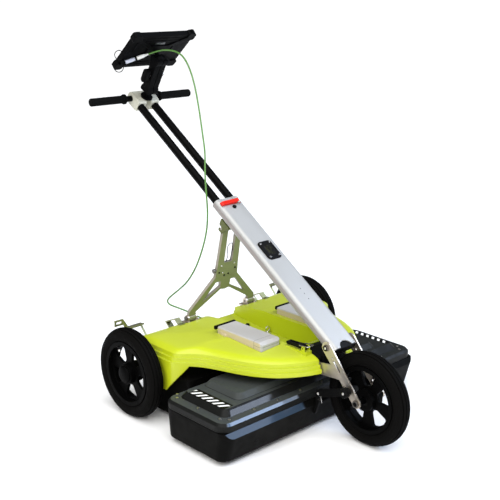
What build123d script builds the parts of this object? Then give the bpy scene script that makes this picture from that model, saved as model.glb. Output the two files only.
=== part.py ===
"""Push cart of a ground penetrating radar: antenna box, covered chassis, folding mast and tablet.

The cart rolls towards -Y, +Z is up and the floor is z = 0. Heights are over the floor, and places fore and
aft are measured from a datum in the antenna box's frame, over which the rear axle lies. The left side of the
cart is +X. Millimetres.
"""

import os
from math import atan2, cos, degrees, radians, sin, sqrt, tan

from build123d import *

os.makedirs("parts", exist_ok=True)

# Clearances
slack = 0.3
running = 0.04
seat_gap = 0.1

# Wheels
wheel_r = 157.5
wheelbase = 690.3
wheel_gap = 6.8
track_half = 429.5
tyre_half = 28.5
flank_r = 131.0
shoulder_half = 23.0
shoulder_r = 148.0
bead_half = 20.0
bead_r = 106.0
groove_w = 3.0
groove_depth = 3.0
groove_pitch = 11.0
grooves = 4
barrel_wall = 7.0
flange_h = 7.0
flange_w = 4.0
web_half = 5.0
spokes = 5
spoke_hub_margin = 6.0
spoke_rim_margin = 5.0
spoke_hole_w = 72.0
spoke_hole_angle = 66.0
spoke_hole_r = 12.0
rear_turn = 50.0
front_turn = 88.0
hub_r = 36.0
hub_half = 26.0
hub_bore_gap = 1.2
axle_r = 7.5
shoulder_axle_r = 11.0
bearing_w = 9.0
bearing_r = 16.0
nut_w = 7.0
nut_across = 22.0

# Handle: the rear of its block and the front tyre set the length of the cart
handle_y = 467.5
block_r = 26.0

# Fork
fork_in = 56.0
fork_t = 5.0
fork_out = fork_in + fork_t
pivot_y = -559.4
pivot_z = 309.5
pivot_boss_r = 20.0
axle_boss_r = 16.0
pivot_bolt_r = 6.0
knob_back = 34.3
knob_rise = 31.5
stud_r = 5.0
arm_bolt_r = 4.0
fork_arm_rear = -482.0
fork_arm_z = (208.0, 246.0)
fork_arm_slope = 4.0
fork_arm_neck = (27.0, 48.0)
brace_high = (-24.0, -52.0)
brace_low = (-70.0, -92.0)
fork_slot_len = 44.0
fork_slot_w = 7.0
fork_slot_at = 69.0
fork_hole_at = 38.0
fork_hole_r = 3.0
bolt_step = 26.0
bolt_inset = 14.0
bolt_proud = 2.0
bolt_head = 1.8
pin_head_t = 3.0

# Chassis
rail_in = 88.0
rail_w = 20.0
rail_z = 206.0
rail_h = 30.0
rail_front = -480.0
beam_tail = 28.0
beam_depth = 40.0
beam_z = 198.0
beam_h = 21.0
bracket_gap = 11.0
front_beam_depth = 26.0
lug_t = 8.0
lug_len = 54.0
bracket_t = 12.0
bracket_half = 34.0
bracket_boss_r = 24.0
lug_rise = 6.0
tray_w = 205.0
tray_d = 130.0
tray_t = 3.0

# Cover
cover_gap = 13.0
cover_front = -546.0
cover_tail = 45.0
cover_z = 218.0
step_h = 14.0
step_in = 6.5
wall = 5.0
crown = ((32.0, 10.0), (75.0, 18.0), (130.0, 23.0), (190.0, 25.0))
lobe_w = 58.0
lobe_z = 125.0
valley_half = 80.0
valley_front = -440.0
valley_low_z = 213.0
valley_low_y = -200.0
valley_rear_z = 232.0
notch_half = 66.0
nose_half = 70.0
nose_bend = (135.0, 26.0)
nose_end = (180.0, 55.0)
flank_bend = (116.0, -109.0)
flank_end = (43.0, 43.0)
bulge_end = 108.0
heel_r = 25.0
lobe_head = 46.0
lobe_foot = -138.0
lobe_bend = (-175.0, 168.0)
lobe_edge = (-207.0, 217.0)
axle_hole_gap = 3.0
pad_half = 38.0
pad_depth = 26.0
post_r = 6.0
post_back = 12.0

# Batteries
battery_in = 99.0
battery_w = 88.0
battery_front = -388.0
battery_len = 220.0
battery_top = 308.0
well_floor = 246.0
battery_gap = 0.5
battery_corner = 9.0
battery_edge = 5.0
battery_slant = (12.0, 9.0)

# Latch, lifting handles, rear handles and hinge housing on the cover
latch_x = -81.0
latch_half = 14.0
latch_front = -500.0
latch_rear = -405.0
latch_z = 284.0
latch_pin_y = -486.0
latch_pin_z = 294.0
latch_pin_r = 2.5
latch_ear_t = 4.0
latch_ear_r = 7.0
latch_root = 1.0
bail_r = 5.5
bail_lip = 15.0
bail_hump = (12.0, 9.0)
bail_window = (14.0, 36.0)
flat_w = 22.0
flat_t = 4.0
lift_x = 208.0
lift_seat_z = 274.4
lift_toe = (-12.0, 3.0)
lift_heel = 4.0
lift_crest = (22.0, 14.0)
lift_grip = (70.0, -7.0)
lift_foot = 4.0
rear_inset = 2.0
rear_w = 69.0
rear_leg_w = 6.0
rear_grip = (84.0, 282.0)
rear_lip = (68.0, 284.0)
rear_foot = (3.0, 22.0)
rear_gap_h = 277.0
tab_gap = 6.0
tab_root = 10.0
tab_w = 35.0
tab_h = 21.0
tab_rim = 6.0
tab_slot_r = 3.0
housing_top = 280.0
housing_front = -536.0
housing_brow = 26.0
housing_drop = 12.0
housing_chin = (6.0, 40.0)
housing_gap = 1.0

# Control unit and the socket of the cable
unit_margin = 7.0
unit_corner = 6.0
cable_r = 3.0
cable_end_x = -62.5
cable_end_y = 24.0
cable_end_z = 244.8
cable_last = (-67.0, 66.0, 249.0)
socket_half = 15.0
socket_len = 34.0
socket_back = 8.0
socket_head = 9.0
socket_corner = 4.0
gland_r = 9.0
gland_len = 10.0

# Mast
mast_angle = 34.34
mast_w = 110.0
mast_h = 38.0
mast_edge_r = 16.0
mast_top = 665.0
mast_bottom = -25.0
tube_x = 33.0
tube_r = 14.5
tube_wall = 2.0
tube_slack = 0.4
tube_low = 515.0
tube_high = 1222.0
glide_len = 20.0
core_w = 26.0
core_h = 28.0
plug_len = 70.0
plug_wall = 4.0
plug_proud = 3.0
foot_cut_r = 29.0
foot_cut_at = 33.0
pivot_bore_gap = 1.0
guide_t = 6.0
guide_pad_w = 16.0
guide_pad_t = 2.0
guide_pad_root = 4.0
rail_holes = (182.0, 206.0, 229.0)
rail_hole_r = 2.1
plate_w = 62.0
plate_len = 82.0
plate_d = 409.0
plate_t = 4.0
plate_corner = 14.0
plate_edge = 1.2
plate_screw = (21.0, 30.0)
screw_r = 2.0
screw_head_r = 4.0
screw_head_h = 2.5
screw_deep = 3.0
washer_r = 5.2
lever_lead = 21.0
lever_screw_gap = 20.0
lever_w = 14.0
lever_hinge_x = 28.0
lever_end_x = -49.0
lever_pin_r = 3.0
ear_t = 5.0
ear_r = 7.0
lever_rise = 8.0
lever_eye_r = 5.0
lever_gap = 1.0
lever_heel = (11.0, 9.0)
lever_tip = 8.0

# Handle block and ball mount
block_low = 1198.0
block_half = 50.0
block_top = 24.0
block_edge_r = 7.0
block_rim = 4.0
block_slot_w = 22.0
bar_r = 11.0
bar_wall = 2.0
bar_n = 3.0
grip_r = 15.0
grip_in = 80.0
grip_out = 233.0
grip_flange_r = 19.0
grip_flange_w = 6.0
grip_end_t = 4.0
ball_r = 19.05
ball_gap = 0.15
stem_r = 8.0
base_r = 23.0
base_t = 6.0
arm_low = (417.0, 1050.0)
arm_half = 24.0
arm_split = 1.5
arm_end = 8.0
arm_waist = 17.0
arm_mouth = 2.0
arm_mouth_in = 11.0
bolt_end = 38.0
knob_in = 30.0
clamp_bolt_r = 4.0
clamp_knob_len = 55.0
clamp_knob_w = 24.0
clamp_knob_t = 22.0
clamp_knob_edge = 5.0

# Tablet
tablet_y = 383.6
tablet_z = 1201.3
tablet_tilt = 40.35
tablet_w = 267.0
tablet_d = 178.0
tablet_t = 22.0
tablet_corner = 14.0
screen_w = 218.0
screen_d = 137.0
screen_t = 1.6
clip_size = 34.0
clip_wall = 7.0
cradle_t = 4.0
cradle_w = 90.0
cradle_d = 70.0
rib_w = 14.0
ball_drop = 39.0
key_u = 121.0
key_w = 7.0
key_len = 16.0
key_deep = 3.0
key_proud = 1.0
key_corner = 2.0
tablet_edge = 3.0
clip_corner = 9.0
clip_low = 3.0
cradle_corner = 10.0
rib_over = 30.0

# Plug of the cable under the tablet
plug_from = (-120.0, 43.0)
plug_to = (-37.0, 0.0)
plug_drop = 11.0
plug_r = 7.0
boot_r = 4.2
body_len = 80.0
port_len = 14.0
port_rim = 5.0
port_root = 1.0
cable_lead = 38.0

# Stay
foot_x = 143.0
foot_w = 30.0
foot_back = 22.0
foot_z = 279.0
foot_pin_r = 5.0
foot_r = 11.0
stay_lean = 11.05
stay_t = 12.0
stub_drop = 30.1
stub_r = 5.0
stub_margin = 10.0
stub_end = 52.0
stay_half_top = 44.0
stay_half_hub = 53.0
slot_half = 20.0
stay_taper = 4.0
stay_corner = 4.0
slot_margin = 19.0
leg_knee = 28.0
crotch = ((22.0, 128.0), (88.0, 20.0), (84.0, 0.0))
window = ((120.0, 47.0), (120.0, 24.0), (98.0, 22.0), (54.0, 103.0))
lap_low = 140.0
lap_high = 190.0
lock_v = 166.0
lock_r = 4.0
lock_in = 20.0
lock_bottom = 1.0
lock_head_gap = 3.0
lock_head_t = 6.0
foot_plate_z = 262.0
foot_plate_t = 5.0
foot_ear_t = 6.0
foot_margin = 4.0
foot_rim = 1.0
hook_t = 5.0
hook_gap = 3.0
hook_plate_t = 3.0
hook_front_len = 28.0
hook_rear_len = 20.0
hook_wall = 8.0
hook_toe = 12.0
hook_lip = (14.0, 8.0)
hook_mouth = 8.0

# Antenna box
box_half = 467.0
box_front = -526.0
box_rear = -222.0
box_low_half = 461.0
box_low_front = -501.0
box_low_rear = -227.0
box_z = 15.0
box_full_z = 108.0
tub_top = 121.0
tub_wall = 6.0
box_corner = 40.0
corner_step = 6.0
tub_edge_r = 12.0
bevel_y = 14.0
bevel_z = 20.0
bay_half = 352.0
bay_axle_gap = 20.0
bay_top = 170.0
bay_corner = 20.0
lid_flange_z = 150.0
lid_bevel = 8.0
deck_half = 426.0
deck_front = -474.0
deck_rear = -248.0
deck_z = 171.0
deck_corner = 26.0
hump_half = 340.0
hump_z = 188.0
slope = 15.0
lid_wall = 5.0
lid_screw_r = 2.5
lid_head_r = 4.5
lid_head_h = 2.5
lid_seam = 2.0
lid_screw_x = 436.0
lid_screw_floor = 8.0
lid_screw_step = 104.5
lid_row_front = -487.0
lid_row_rear = -235.0
lid_side_rows = (-256.0, -360.0, -464.0)
board_t = 3.0
board_margin = 11.0
module_h = 46.0
modules = 7
module_w = 90.0
module_d = 90.0
bay_modules = 5
link_x = 62.0
link_t = 9.0
link_w = 26.0
lug_lead = 12.0
lug_z = 146.0
link_low_z = 70.0
link_high_z = 96.0
link_neck = 4.0
link_toe = 9.0
knob_r = 17.0
knob_t = 15.0
knob_lobes = 6
knob_dent_r = 5.0
knob_dent_at = 19.0

# Lanyard
lanyard_r = 0.9

# Places that follow from the sizes
front_y = box_front - wheel_gap - wheel_r
rear_y = front_y + wheelbase
datum_y = (wheel_r - front_y - handle_y - block_r) / 2
knob_y = front_y + knob_back
knob_z = wheel_r + knob_rise
bay_rear = rear_y - bay_axle_gap
beam_rear = rear_y + beam_tail
cover_half = track_half - tyre_half - cover_gap
cover_rear = rear_y + cover_tail
cover_mid = (cover_front + cover_rear) / 2
beam_half = cover_half - wall - bracket_gap
lobe_in = cover_half - lobe_w
rear_out = cover_half - rear_inset
rear_in = rear_out - rear_w
foot_y = rear_y + foot_back
post_y = rear_y + post_back
lug_y = box_front - lug_lead
lever_d = mast_top - lever_lead
lever_screw_d = lever_d - lever_screw_gap


def level(z):
    """Level plane at height z, with its origin over the datum."""
    return Plane((0, datum_y, z))


def across(x):
    """Upright plane that runs fore and aft at x: sketch points are (place from the datum, height)."""
    return Plane((x, datum_y, 0), x_dir=(0, 1, 0), z_dir=(1, 0, 0))


# Directions along the mast and square to it
mast_dir = Vector(0, cos(radians(mast_angle)), sin(radians(mast_angle)))
mast_up = Vector(0, -sin(radians(mast_angle)), cos(radians(mast_angle)))
pivot = Vector(0, datum_y + pivot_y, pivot_z)


def mast_section(d):
    """Plane across the mast at d from its pivot: points are (x, height over its axis), down the mast."""
    return Plane(pivot + mast_dir * d, x_dir=(1, 0, 0), z_dir=-mast_dir)


def mast_side(x):
    """Plane along the mast at x: points are (distance from the pivot, height over the axis)."""
    return Plane(pivot + Vector(x, 0, 0), x_dir=mast_dir, z_dir=(1, 0, 0))


def mast_face(n):
    """Plane that lies n over the mast's axis: points are (x, distance from the pivot)."""
    return Plane(pivot + mast_up * n, x_dir=(1, 0, 0), z_dir=mast_up)


stay_up = Vector(0, -sin(radians(stay_lean)), cos(radians(stay_lean)))
stay_front = Vector(0, -cos(radians(stay_lean)), -sin(radians(stay_lean)))
stay_foot = Vector(0, datum_y + foot_y, foot_z)
stub_n = -mast_h / 2 - stub_drop
stub_v = (stub_n - (stay_foot - pivot).dot(mast_up)) / stay_up.dot(mast_up)
stay_top = stub_v + stub_margin


def stay_face(w):
    """Plane of the stay, w in front of its middle: points are (x, distance up from the feet)."""
    return Plane(stay_foot + stay_front * w, x_dir=(1, 0, 0), z_dir=stay_front)


def stay_side(x):
    """Plane square to the stay at x: points are (distance up from the feet, distance behind)."""
    return Plane(stay_foot + Vector(x, 0, 0), x_dir=stay_up, z_dir=(-1, 0, 0))


tablet_up = Vector(0, sin(radians(tablet_tilt)), cos(radians(tablet_tilt)))
tablet_mid = Vector(0, datum_y + tablet_y, tablet_z)


def tablet_face(w):
    """Plane of the tablet, w over its middle: points are (x, distance towards the operator)."""
    return Plane(tablet_mid + tablet_up * w, x_dir=(1, 0, 0), z_dir=tablet_up)


low_ball = Vector(0, datum_y + arm_low[0], arm_low[1])
high_ball = tablet_mid - tablet_up * (tablet_t / 2 + ball_drop)
arm_dir = (high_ball - low_ball).normalized()
arm_len = (high_ball - low_ball).length


def arm_side(x):
    """Plane along the mount's arm at x: points are (distance from the lower ball, distance in front)."""
    return Plane(low_ball + Vector(x, 0, 0), x_dir=arm_dir, z_dir=(1, 0, 0))


# Wheels: tyre, rim and bearings
def crown_r(x):
    """Radius of the tread at x from the middle of the tyre."""
    rise = wheel_r - shoulder_r
    bend = (shoulder_half**2 + rise**2) / (2 * rise)
    return wheel_r - bend + sqrt(bend**2 - x**2)


wheels = {
    "right": (-track_half, rear_y, rear_turn),
    "left": (track_half, rear_y, rear_turn),
    "front": (0, front_y, front_turn),
}
for side, (wheel_x, wheel_y, window_turn) in wheels.items():
    hub = Vector(wheel_x, datum_y + wheel_y, wheel_r)
    spin = Axis(hub, (1, 0, 0))
    wheel_plan = Plane(hub)
    wheel_face = Plane(hub, x_dir=(0, 1, 0), z_dir=(1, 0, 0))

    with BuildPart() as tyre:
        with BuildSketch(wheel_plan):
            with BuildLine():
                bead = Line((-bead_half, bead_r), (bead_half, bead_r))
                seat = Line(bead @ 1, (bead_half, bead_r + flange_h))
                flank = ThreePointArc(seat @ 1, (tyre_half, flank_r), (shoulder_half, shoulder_r))
                tread = ThreePointArc(flank @ 1, (0, wheel_r), (-shoulder_half, shoulder_r))
                back = ThreePointArc(tread @ 1, (-tyre_half, flank_r), (-bead_half, bead_r + flange_h))
                Line(back @ 1, bead @ 0)
            make_face()
        revolve(axis=spin)
        with BuildSketch(wheel_plan):
            for groove in range(grooves):
                groove_x = (groove - (grooves - 1) / 2) * groove_pitch
                with Locations((groove_x, crown_r(groove_x) - groove_depth)):
                    Rectangle(groove_w, 4 * groove_depth, align=(Align.CENTER, Align.MIN))
        revolve(axis=spin, mode=Mode.SUBTRACT)
    tyre.part.label = f"{side}_tyre"
    export_step(tyre.part, f"parts/{side}_tyre.step")

    barrel_r = bead_r - seat_gap
    barrel_in = barrel_r - barrel_wall
    barrel_half = bead_half + slack + flange_w
    with BuildPart() as rim:
        with BuildSketch(wheel_plan):
            with Locations((0, barrel_in)):
                Rectangle(2 * barrel_half, barrel_wall, align=(Align.CENTER, Align.MIN))
            with Locations((-barrel_half, barrel_in), (barrel_half - flange_w, barrel_in)):
                Rectangle(flange_w, barrel_wall + flange_h - slack, align=(Align.MIN, Align.MIN))
            Rectangle(2 * web_half, barrel_in + barrel_wall / 2, align=(Align.CENTER, Align.MIN))
            Rectangle(2 * hub_half, hub_r, align=(Align.CENTER, Align.MIN))
            bore_r = axle_r + hub_bore_gap
            Rectangle(2 * hub_half, bore_r, align=(Align.CENTER, Align.MIN), mode=Mode.SUBTRACT)
            with Locations((-hub_half, 0), (hub_half - bearing_w, 0)):
                Rectangle(bearing_w, bearing_r, align=(Align.MIN, Align.MIN), mode=Mode.SUBTRACT)
        revolve(axis=spin)
        hole_in = hub_r + spoke_hub_margin
        hole_out = barrel_in - spoke_rim_margin
        with BuildSketch(wheel_face.offset(-2 * web_half)):
            with PolarLocations(0, spokes, start_angle=window_turn):
                with Locations(((hole_in + hole_out) / 2, 0)):
                    Trapezoid(spoke_hole_w, hole_out - hole_in, spoke_hole_angle, rotation=90)
            fillet(vertices(), spoke_hole_r)
        extrude(amount=4 * web_half, mode=Mode.SUBTRACT)
    rim.part.label = f"{side}_rim"
    export_step(rim.part, f"parts/{side}_rim.step")

    with BuildPart() as bearings:
        with BuildSketch(wheel_plan):
            with Locations((-hub_half, axle_r + running), (hub_half - bearing_w, axle_r + running)):
                ring_h = bearing_r - 2 * running - axle_r
                Rectangle(bearing_w, ring_h, align=(Align.MIN, Align.MIN))
        revolve(axis=spin)
    bearings.part.label = f"{side}_bearings"
    export_step(bearings.part, f"parts/{side}_bearings.step")

# Rear axle: thick between the wheels, turned down to the bearings at its ends
hub_in = track_half - hub_half - slack
axle_end = track_half + hub_half + slack + nut_w
with BuildPart() as rear_axle:
    with BuildSketch(across(-axle_end)):
        with Locations((rear_y, wheel_r)):
            Circle(axle_r)
    extrude(amount=2 * axle_end)
    with BuildSketch(across(-hub_in)):
        with Locations((rear_y, wheel_r)):
            Circle(shoulder_axle_r)
    extrude(amount=2 * hub_in)
rear_axle.part.label = "rear_axle"
export_step(rear_axle.part, "parts/rear_axle.step")

# Front axle: shoulders hold the hub in the middle of the fork
front_end = fork_out + slack + nut_w
with BuildPart() as front_axle:
    with BuildSketch(across(-front_end)):
        with Locations((front_y, wheel_r)):
            Circle(axle_r)
    extrude(amount=2 * front_end)
    with BuildSketch(across(hub_half + slack)):
        with Locations((front_y, wheel_r)):
            Circle(shoulder_axle_r)
    extrude(amount=fork_in - seat_gap - hub_half - slack)
    mirror(about=Plane.YZ)
front_axle.part.label = "front_axle"
export_step(front_axle.part, "parts/front_axle.step")

# Chassis: two rails, a rear beam with the axle brackets, a front beam with the fork lugs, and a tray
rail_len = beam_rear - rail_front
bolt_y = fork_arm_rear - bolt_inset
bolt_z = (fork_arm_z[0] + fork_arm_z[1]) / 2
with BuildPart() as chassis_frame:
    with BuildSketch(level(rail_z)):
        with Locations((rail_in, rail_front)):
            Rectangle(rail_w, rail_len, align=(Align.MIN, Align.MIN))
    extrude(amount=rail_h)
    with BuildSketch(level(beam_z)):
        with Locations((0, beam_rear)):
            Rectangle(beam_half, beam_depth, align=(Align.MIN, Align.MAX))
    extrude(amount=beam_h)
    with BuildSketch(level(rail_z)):
        with Locations((0, rail_front)):
            Rectangle(rail_in + rail_w, front_beam_depth, align=(Align.MIN, Align.MIN))
    extrude(amount=rail_h)
    with BuildSketch(across(fork_in - seat_gap - lug_t)):
        with Locations((rail_front, rail_z)):
            Rectangle(lug_len, rail_h + lug_rise, align=(Align.MAX, Align.MIN))
    extrude(amount=lug_t)
    with BuildSketch(across(beam_half - bracket_t)):
        with BuildLine():
            Polyline(
                (beam_rear, beam_z + beam_h),
                (beam_rear, beam_z),
                (rear_y + bracket_boss_r, wheel_r),
                (rear_y - bracket_boss_r, wheel_r),
                (rear_y - bracket_half, beam_z),
                (beam_rear - beam_depth, beam_z + beam_h),
                close=True,
            )
        make_face()
        with Locations((rear_y, wheel_r)):
            Circle(bracket_boss_r)
            Circle(shoulder_axle_r + seat_gap, mode=Mode.SUBTRACT)
    extrude(amount=bracket_t)
    mirror(about=Plane.YZ)
    with BuildSketch(level(rail_z - tray_t)):
        with Locations((rail_in, beam_rear - beam_depth)):
            Rectangle(rail_w + tray_w, tray_d, align=(Align.MIN, Align.MAX))
    extrude(amount=tray_t)
    with BuildSketch(across(fork_in - 2 * lug_t)):
        with Locations((bolt_y, bolt_z), (bolt_y - bolt_step, bolt_z)):
            Circle(arm_bolt_r + seat_gap)
    extrude(amount=3 * lug_t, mode=Mode.SUBTRACT)
    with BuildSketch(across(-fork_in - lug_t)):
        with Locations((bolt_y, bolt_z), (bolt_y - bolt_step, bolt_z)):
            Circle(arm_bolt_r + seat_gap)
    extrude(amount=3 * lug_t, mode=Mode.SUBTRACT)
chassis_frame.part.label = "chassis_frame"
export_step(chassis_frame.part, "parts/chassis_frame.step")

# Fork plates: a bar from the mast's pivot to the front axle, and an arm back to the chassis
fork_turn = degrees(atan2(pivot_z - wheel_r, pivot_y - front_y))
for side, face_x in {"right": -fork_out, "left": fork_in}.items():
    with BuildPart() as fork_plate:
        with BuildSketch(across(face_x)):
            with Locations((pivot_y, pivot_z)):
                Circle(pivot_boss_r)
            with Locations((front_y, wheel_r)):
                Circle(axle_boss_r)
            make_hull()
            with BuildLine():
                Polyline(
                    (pivot_y + brace_high[0], pivot_z + brace_high[1]),
                    (fork_arm_rear - fork_arm_neck[0], fork_arm_z[1] + fork_arm_slope / 2),
                    (fork_arm_rear, fork_arm_z[1] - fork_arm_slope),
                    (fork_arm_rear, fork_arm_z[0]),
                    (fork_arm_rear - fork_arm_neck[1], fork_arm_z[0] + fork_arm_slope / 2),
                    (pivot_y + brace_low[0], pivot_z + brace_low[1]),
                    (front_y, wheel_r),
                    (pivot_y, pivot_z),
                    close=True,
                )
            make_face()
            with Locations((pivot_y, pivot_z)):
                Circle(pivot_bolt_r + seat_gap, mode=Mode.SUBTRACT)
            with Locations((front_y, wheel_r)):
                Circle(axle_r + seat_gap, mode=Mode.SUBTRACT)
            with Locations((knob_y, knob_z)):
                Circle(stud_r + seat_gap, mode=Mode.SUBTRACT)
            with Locations((bolt_y, bolt_z), (bolt_y - bolt_step, bolt_z)):
                Circle(arm_bolt_r + seat_gap, mode=Mode.SUBTRACT)
            with Locations(Location((pivot_y, pivot_z, 0), (0, 0, fork_turn))):
                with Locations((-fork_hole_at, 0)):
                    Circle(fork_hole_r, mode=Mode.SUBTRACT)
                with Locations((-fork_slot_at, 0)):
                    SlotOverall(fork_slot_len, fork_slot_w, mode=Mode.SUBTRACT)
        extrude(amount=fork_t)
    fork_plate.part.label = f"{side}_fork_plate"
    export_step(fork_plate.part, f"parts/{side}_fork_plate.step")

# Steel fasteners of the frame: axle nuts, fork bolts, the mast's pivot bolt and the pins of the stay's feet
foot_pin_half = foot_w / 2 + slack + foot_ear_t + slack
with BuildPart() as frame_fasteners:
    with BuildSketch(across(track_half + hub_half + slack)):
        with Locations((rear_y, wheel_r)):
            RegularPolygon(nut_across / 2, 6, major_radius=False)
            Circle(axle_r + seat_gap, mode=Mode.SUBTRACT)
    extrude(amount=nut_w)
    with BuildSketch(across(fork_out + slack)):
        with Locations((front_y, wheel_r)):
            RegularPolygon(nut_across / 2, 6, major_radius=False)
            Circle(axle_r + seat_gap, mode=Mode.SUBTRACT)
    extrude(amount=nut_w)
    with BuildSketch(across(fork_in - lug_t - bolt_proud)):
        with Locations((bolt_y, bolt_z), (bolt_y - bolt_step, bolt_z)):
            Circle(arm_bolt_r)
    extrude(amount=lug_t + fork_t + bolt_proud + slack)
    with BuildSketch(across(fork_out + slack)):
        with Locations((bolt_y, bolt_z), (bolt_y - bolt_step, bolt_z)):
            Circle(bolt_head * arm_bolt_r)
    extrude(amount=arm_bolt_r)
    with BuildSketch(across(foot_x - foot_pin_half)):
        with Locations((foot_y, foot_z)):
            Circle(foot_pin_r)
    extrude(amount=2 * foot_pin_half)
    with BuildSketch(across(foot_x + foot_pin_half)):
        with Locations((foot_y, foot_z)):
            Circle(bolt_head * foot_pin_r)
    extrude(amount=pin_head_t)
    mirror(about=Plane.YZ)
    with BuildSketch(across(-fork_out - slack)):
        with Locations((pivot_y, pivot_z)):
            Circle(pivot_bolt_r)
    extrude(amount=2 * (fork_out + slack))
    with BuildSketch(across(fork_out + slack), across(-fork_out - slack - nut_w)):
        with Locations((pivot_y, pivot_z)):
            RegularPolygon(bolt_head * pivot_bolt_r, 6)
    extrude(amount=nut_w)
frame_fasteners.part.label = "frame_fasteners"
export_step(frame_fasteners.part, "parts/frame_fasteners.step")


# Cover: stepped sides, a crowned deck, lobes over the axle, a valley for the mast and two battery wells
def cover_outline(inset):
    """Plan outline of the cover, drawn in by the inset on every side."""
    shrink_x = (cover_half - inset) / cover_half
    shrink_y = (cover_rear - cover_mid - inset) / (cover_rear - cover_mid)

    def point(x, y):
        return (x * shrink_x, cover_mid + (y - cover_mid) * shrink_y)

    with BuildLine() as outline:
        nose = Line(point(0, cover_front), point(nose_half, cover_front))
        nose_mid = point(nose_bend[0], cover_front + nose_bend[1])
        corner = ThreePointArc(nose @ 1, nose_mid, point(nose_end[0], cover_front + nose_end[1]))
        flank_mid = point(cover_half - flank_bend[0], cover_mid + flank_bend[1])
        flank_stop = point(cover_half - flank_end[0], cover_mid + flank_end[1])
        bulge = point(cover_half, cover_mid + bulge_end)
        flank = Spline(corner @ 1, flank_mid, flank_stop, bulge, tangents=(corner % 1, (0, 1)))
        lobe = Line(flank @ 1, point(cover_half, cover_rear - heel_r))
        heel_in = heel_r * (1 - sqrt(0.5))
        heel_mid = point(cover_half - heel_in, cover_rear - heel_in)
        heel = ThreePointArc(lobe @ 1, heel_mid, point(cover_half - heel_r, cover_rear))
        Line(heel @ 1, point(0, cover_rear))
        mirror(about=Plane.YZ)
    make_face(outline.edges())


def crowned_deck(inset, drop):
    """Solid under the crowned deck: the outline drawn in and raised step by step."""
    base_z = cover_z + 3 * step_h - drop
    sections = []
    for crown_in, crown_h in ((2 * step_in, 0), *crown):
        with BuildSketch(level(base_z + crown_h)) as section:
            cover_outline(crown_in + inset)
        sections.append(section.sketch.face())
    loft(sections)


def valley_floor(y):
    """Height of the valley's floor at y."""
    along = max(0, (y - valley_low_y) / (cover_rear - valley_low_y))
    return valley_low_z + (valley_rear_z - valley_low_z) * along


def valley_profile(drop, front, rear, top):
    """Side outline of the valley from its floor, which is lowered by the drop, to the top."""
    with BuildLine() as outline:
        Polyline(
            (rear, valley_floor(rear) - drop),
            (valley_low_y, valley_low_z - drop),
            (front, valley_low_z - drop),
            (front, top),
            (rear, top),
            close=True,
        )
    make_face(outline.edges())


pad_front = foot_y - pad_depth
well_in = battery_in - battery_gap
well_w = battery_w + 2 * battery_gap
well_front = battery_front - battery_gap
well_len = battery_len + 2 * battery_gap
bail_half = latch_half - latch_ear_t - slack

with BuildPart() as cover_cavity:
    with BuildSketch(level(lobe_z)):
        cover_outline(wall)
    extrude(amount=cover_z + step_h - wall - lobe_z)
    with BuildSketch(level(cover_z)):
        cover_outline(step_in + wall)
    extrude(amount=2 * step_h - wall)
    with BuildSketch(level(cover_z)):
        cover_outline(2 * step_in + wall)
    extrude(amount=3 * step_h - wall)
    crowned_deck(wall, wall)
    with BuildSketch(across(-valley_half - wall)):
        valley_profile(wall, valley_front - wall, cover_rear + wall, battery_top)
    extrude(amount=2 * (valley_half + wall), mode=Mode.SUBTRACT)
    with BuildSketch(level(well_floor - wall)):
        for x in (well_in - wall, -well_in - well_w - wall):
            with Locations((x, well_front - wall)):
                Rectangle(well_w + 2 * wall, well_len + 2 * wall, align=(Align.MIN, Align.MIN))
    extrude(amount=battery_top - well_floor, mode=Mode.SUBTRACT)
    with BuildSketch(level(foot_plate_z - wall)):
        for x in (-foot_x, foot_x):
            with Locations((x, pad_front - wall)):
                pad_len = cover_rear - pad_front + 2 * wall
                Rectangle(2 * (pad_half + wall), pad_len, align=(Align.CENTER, Align.MIN))
    extrude(amount=battery_top - foot_plate_z, mode=Mode.SUBTRACT)

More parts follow.
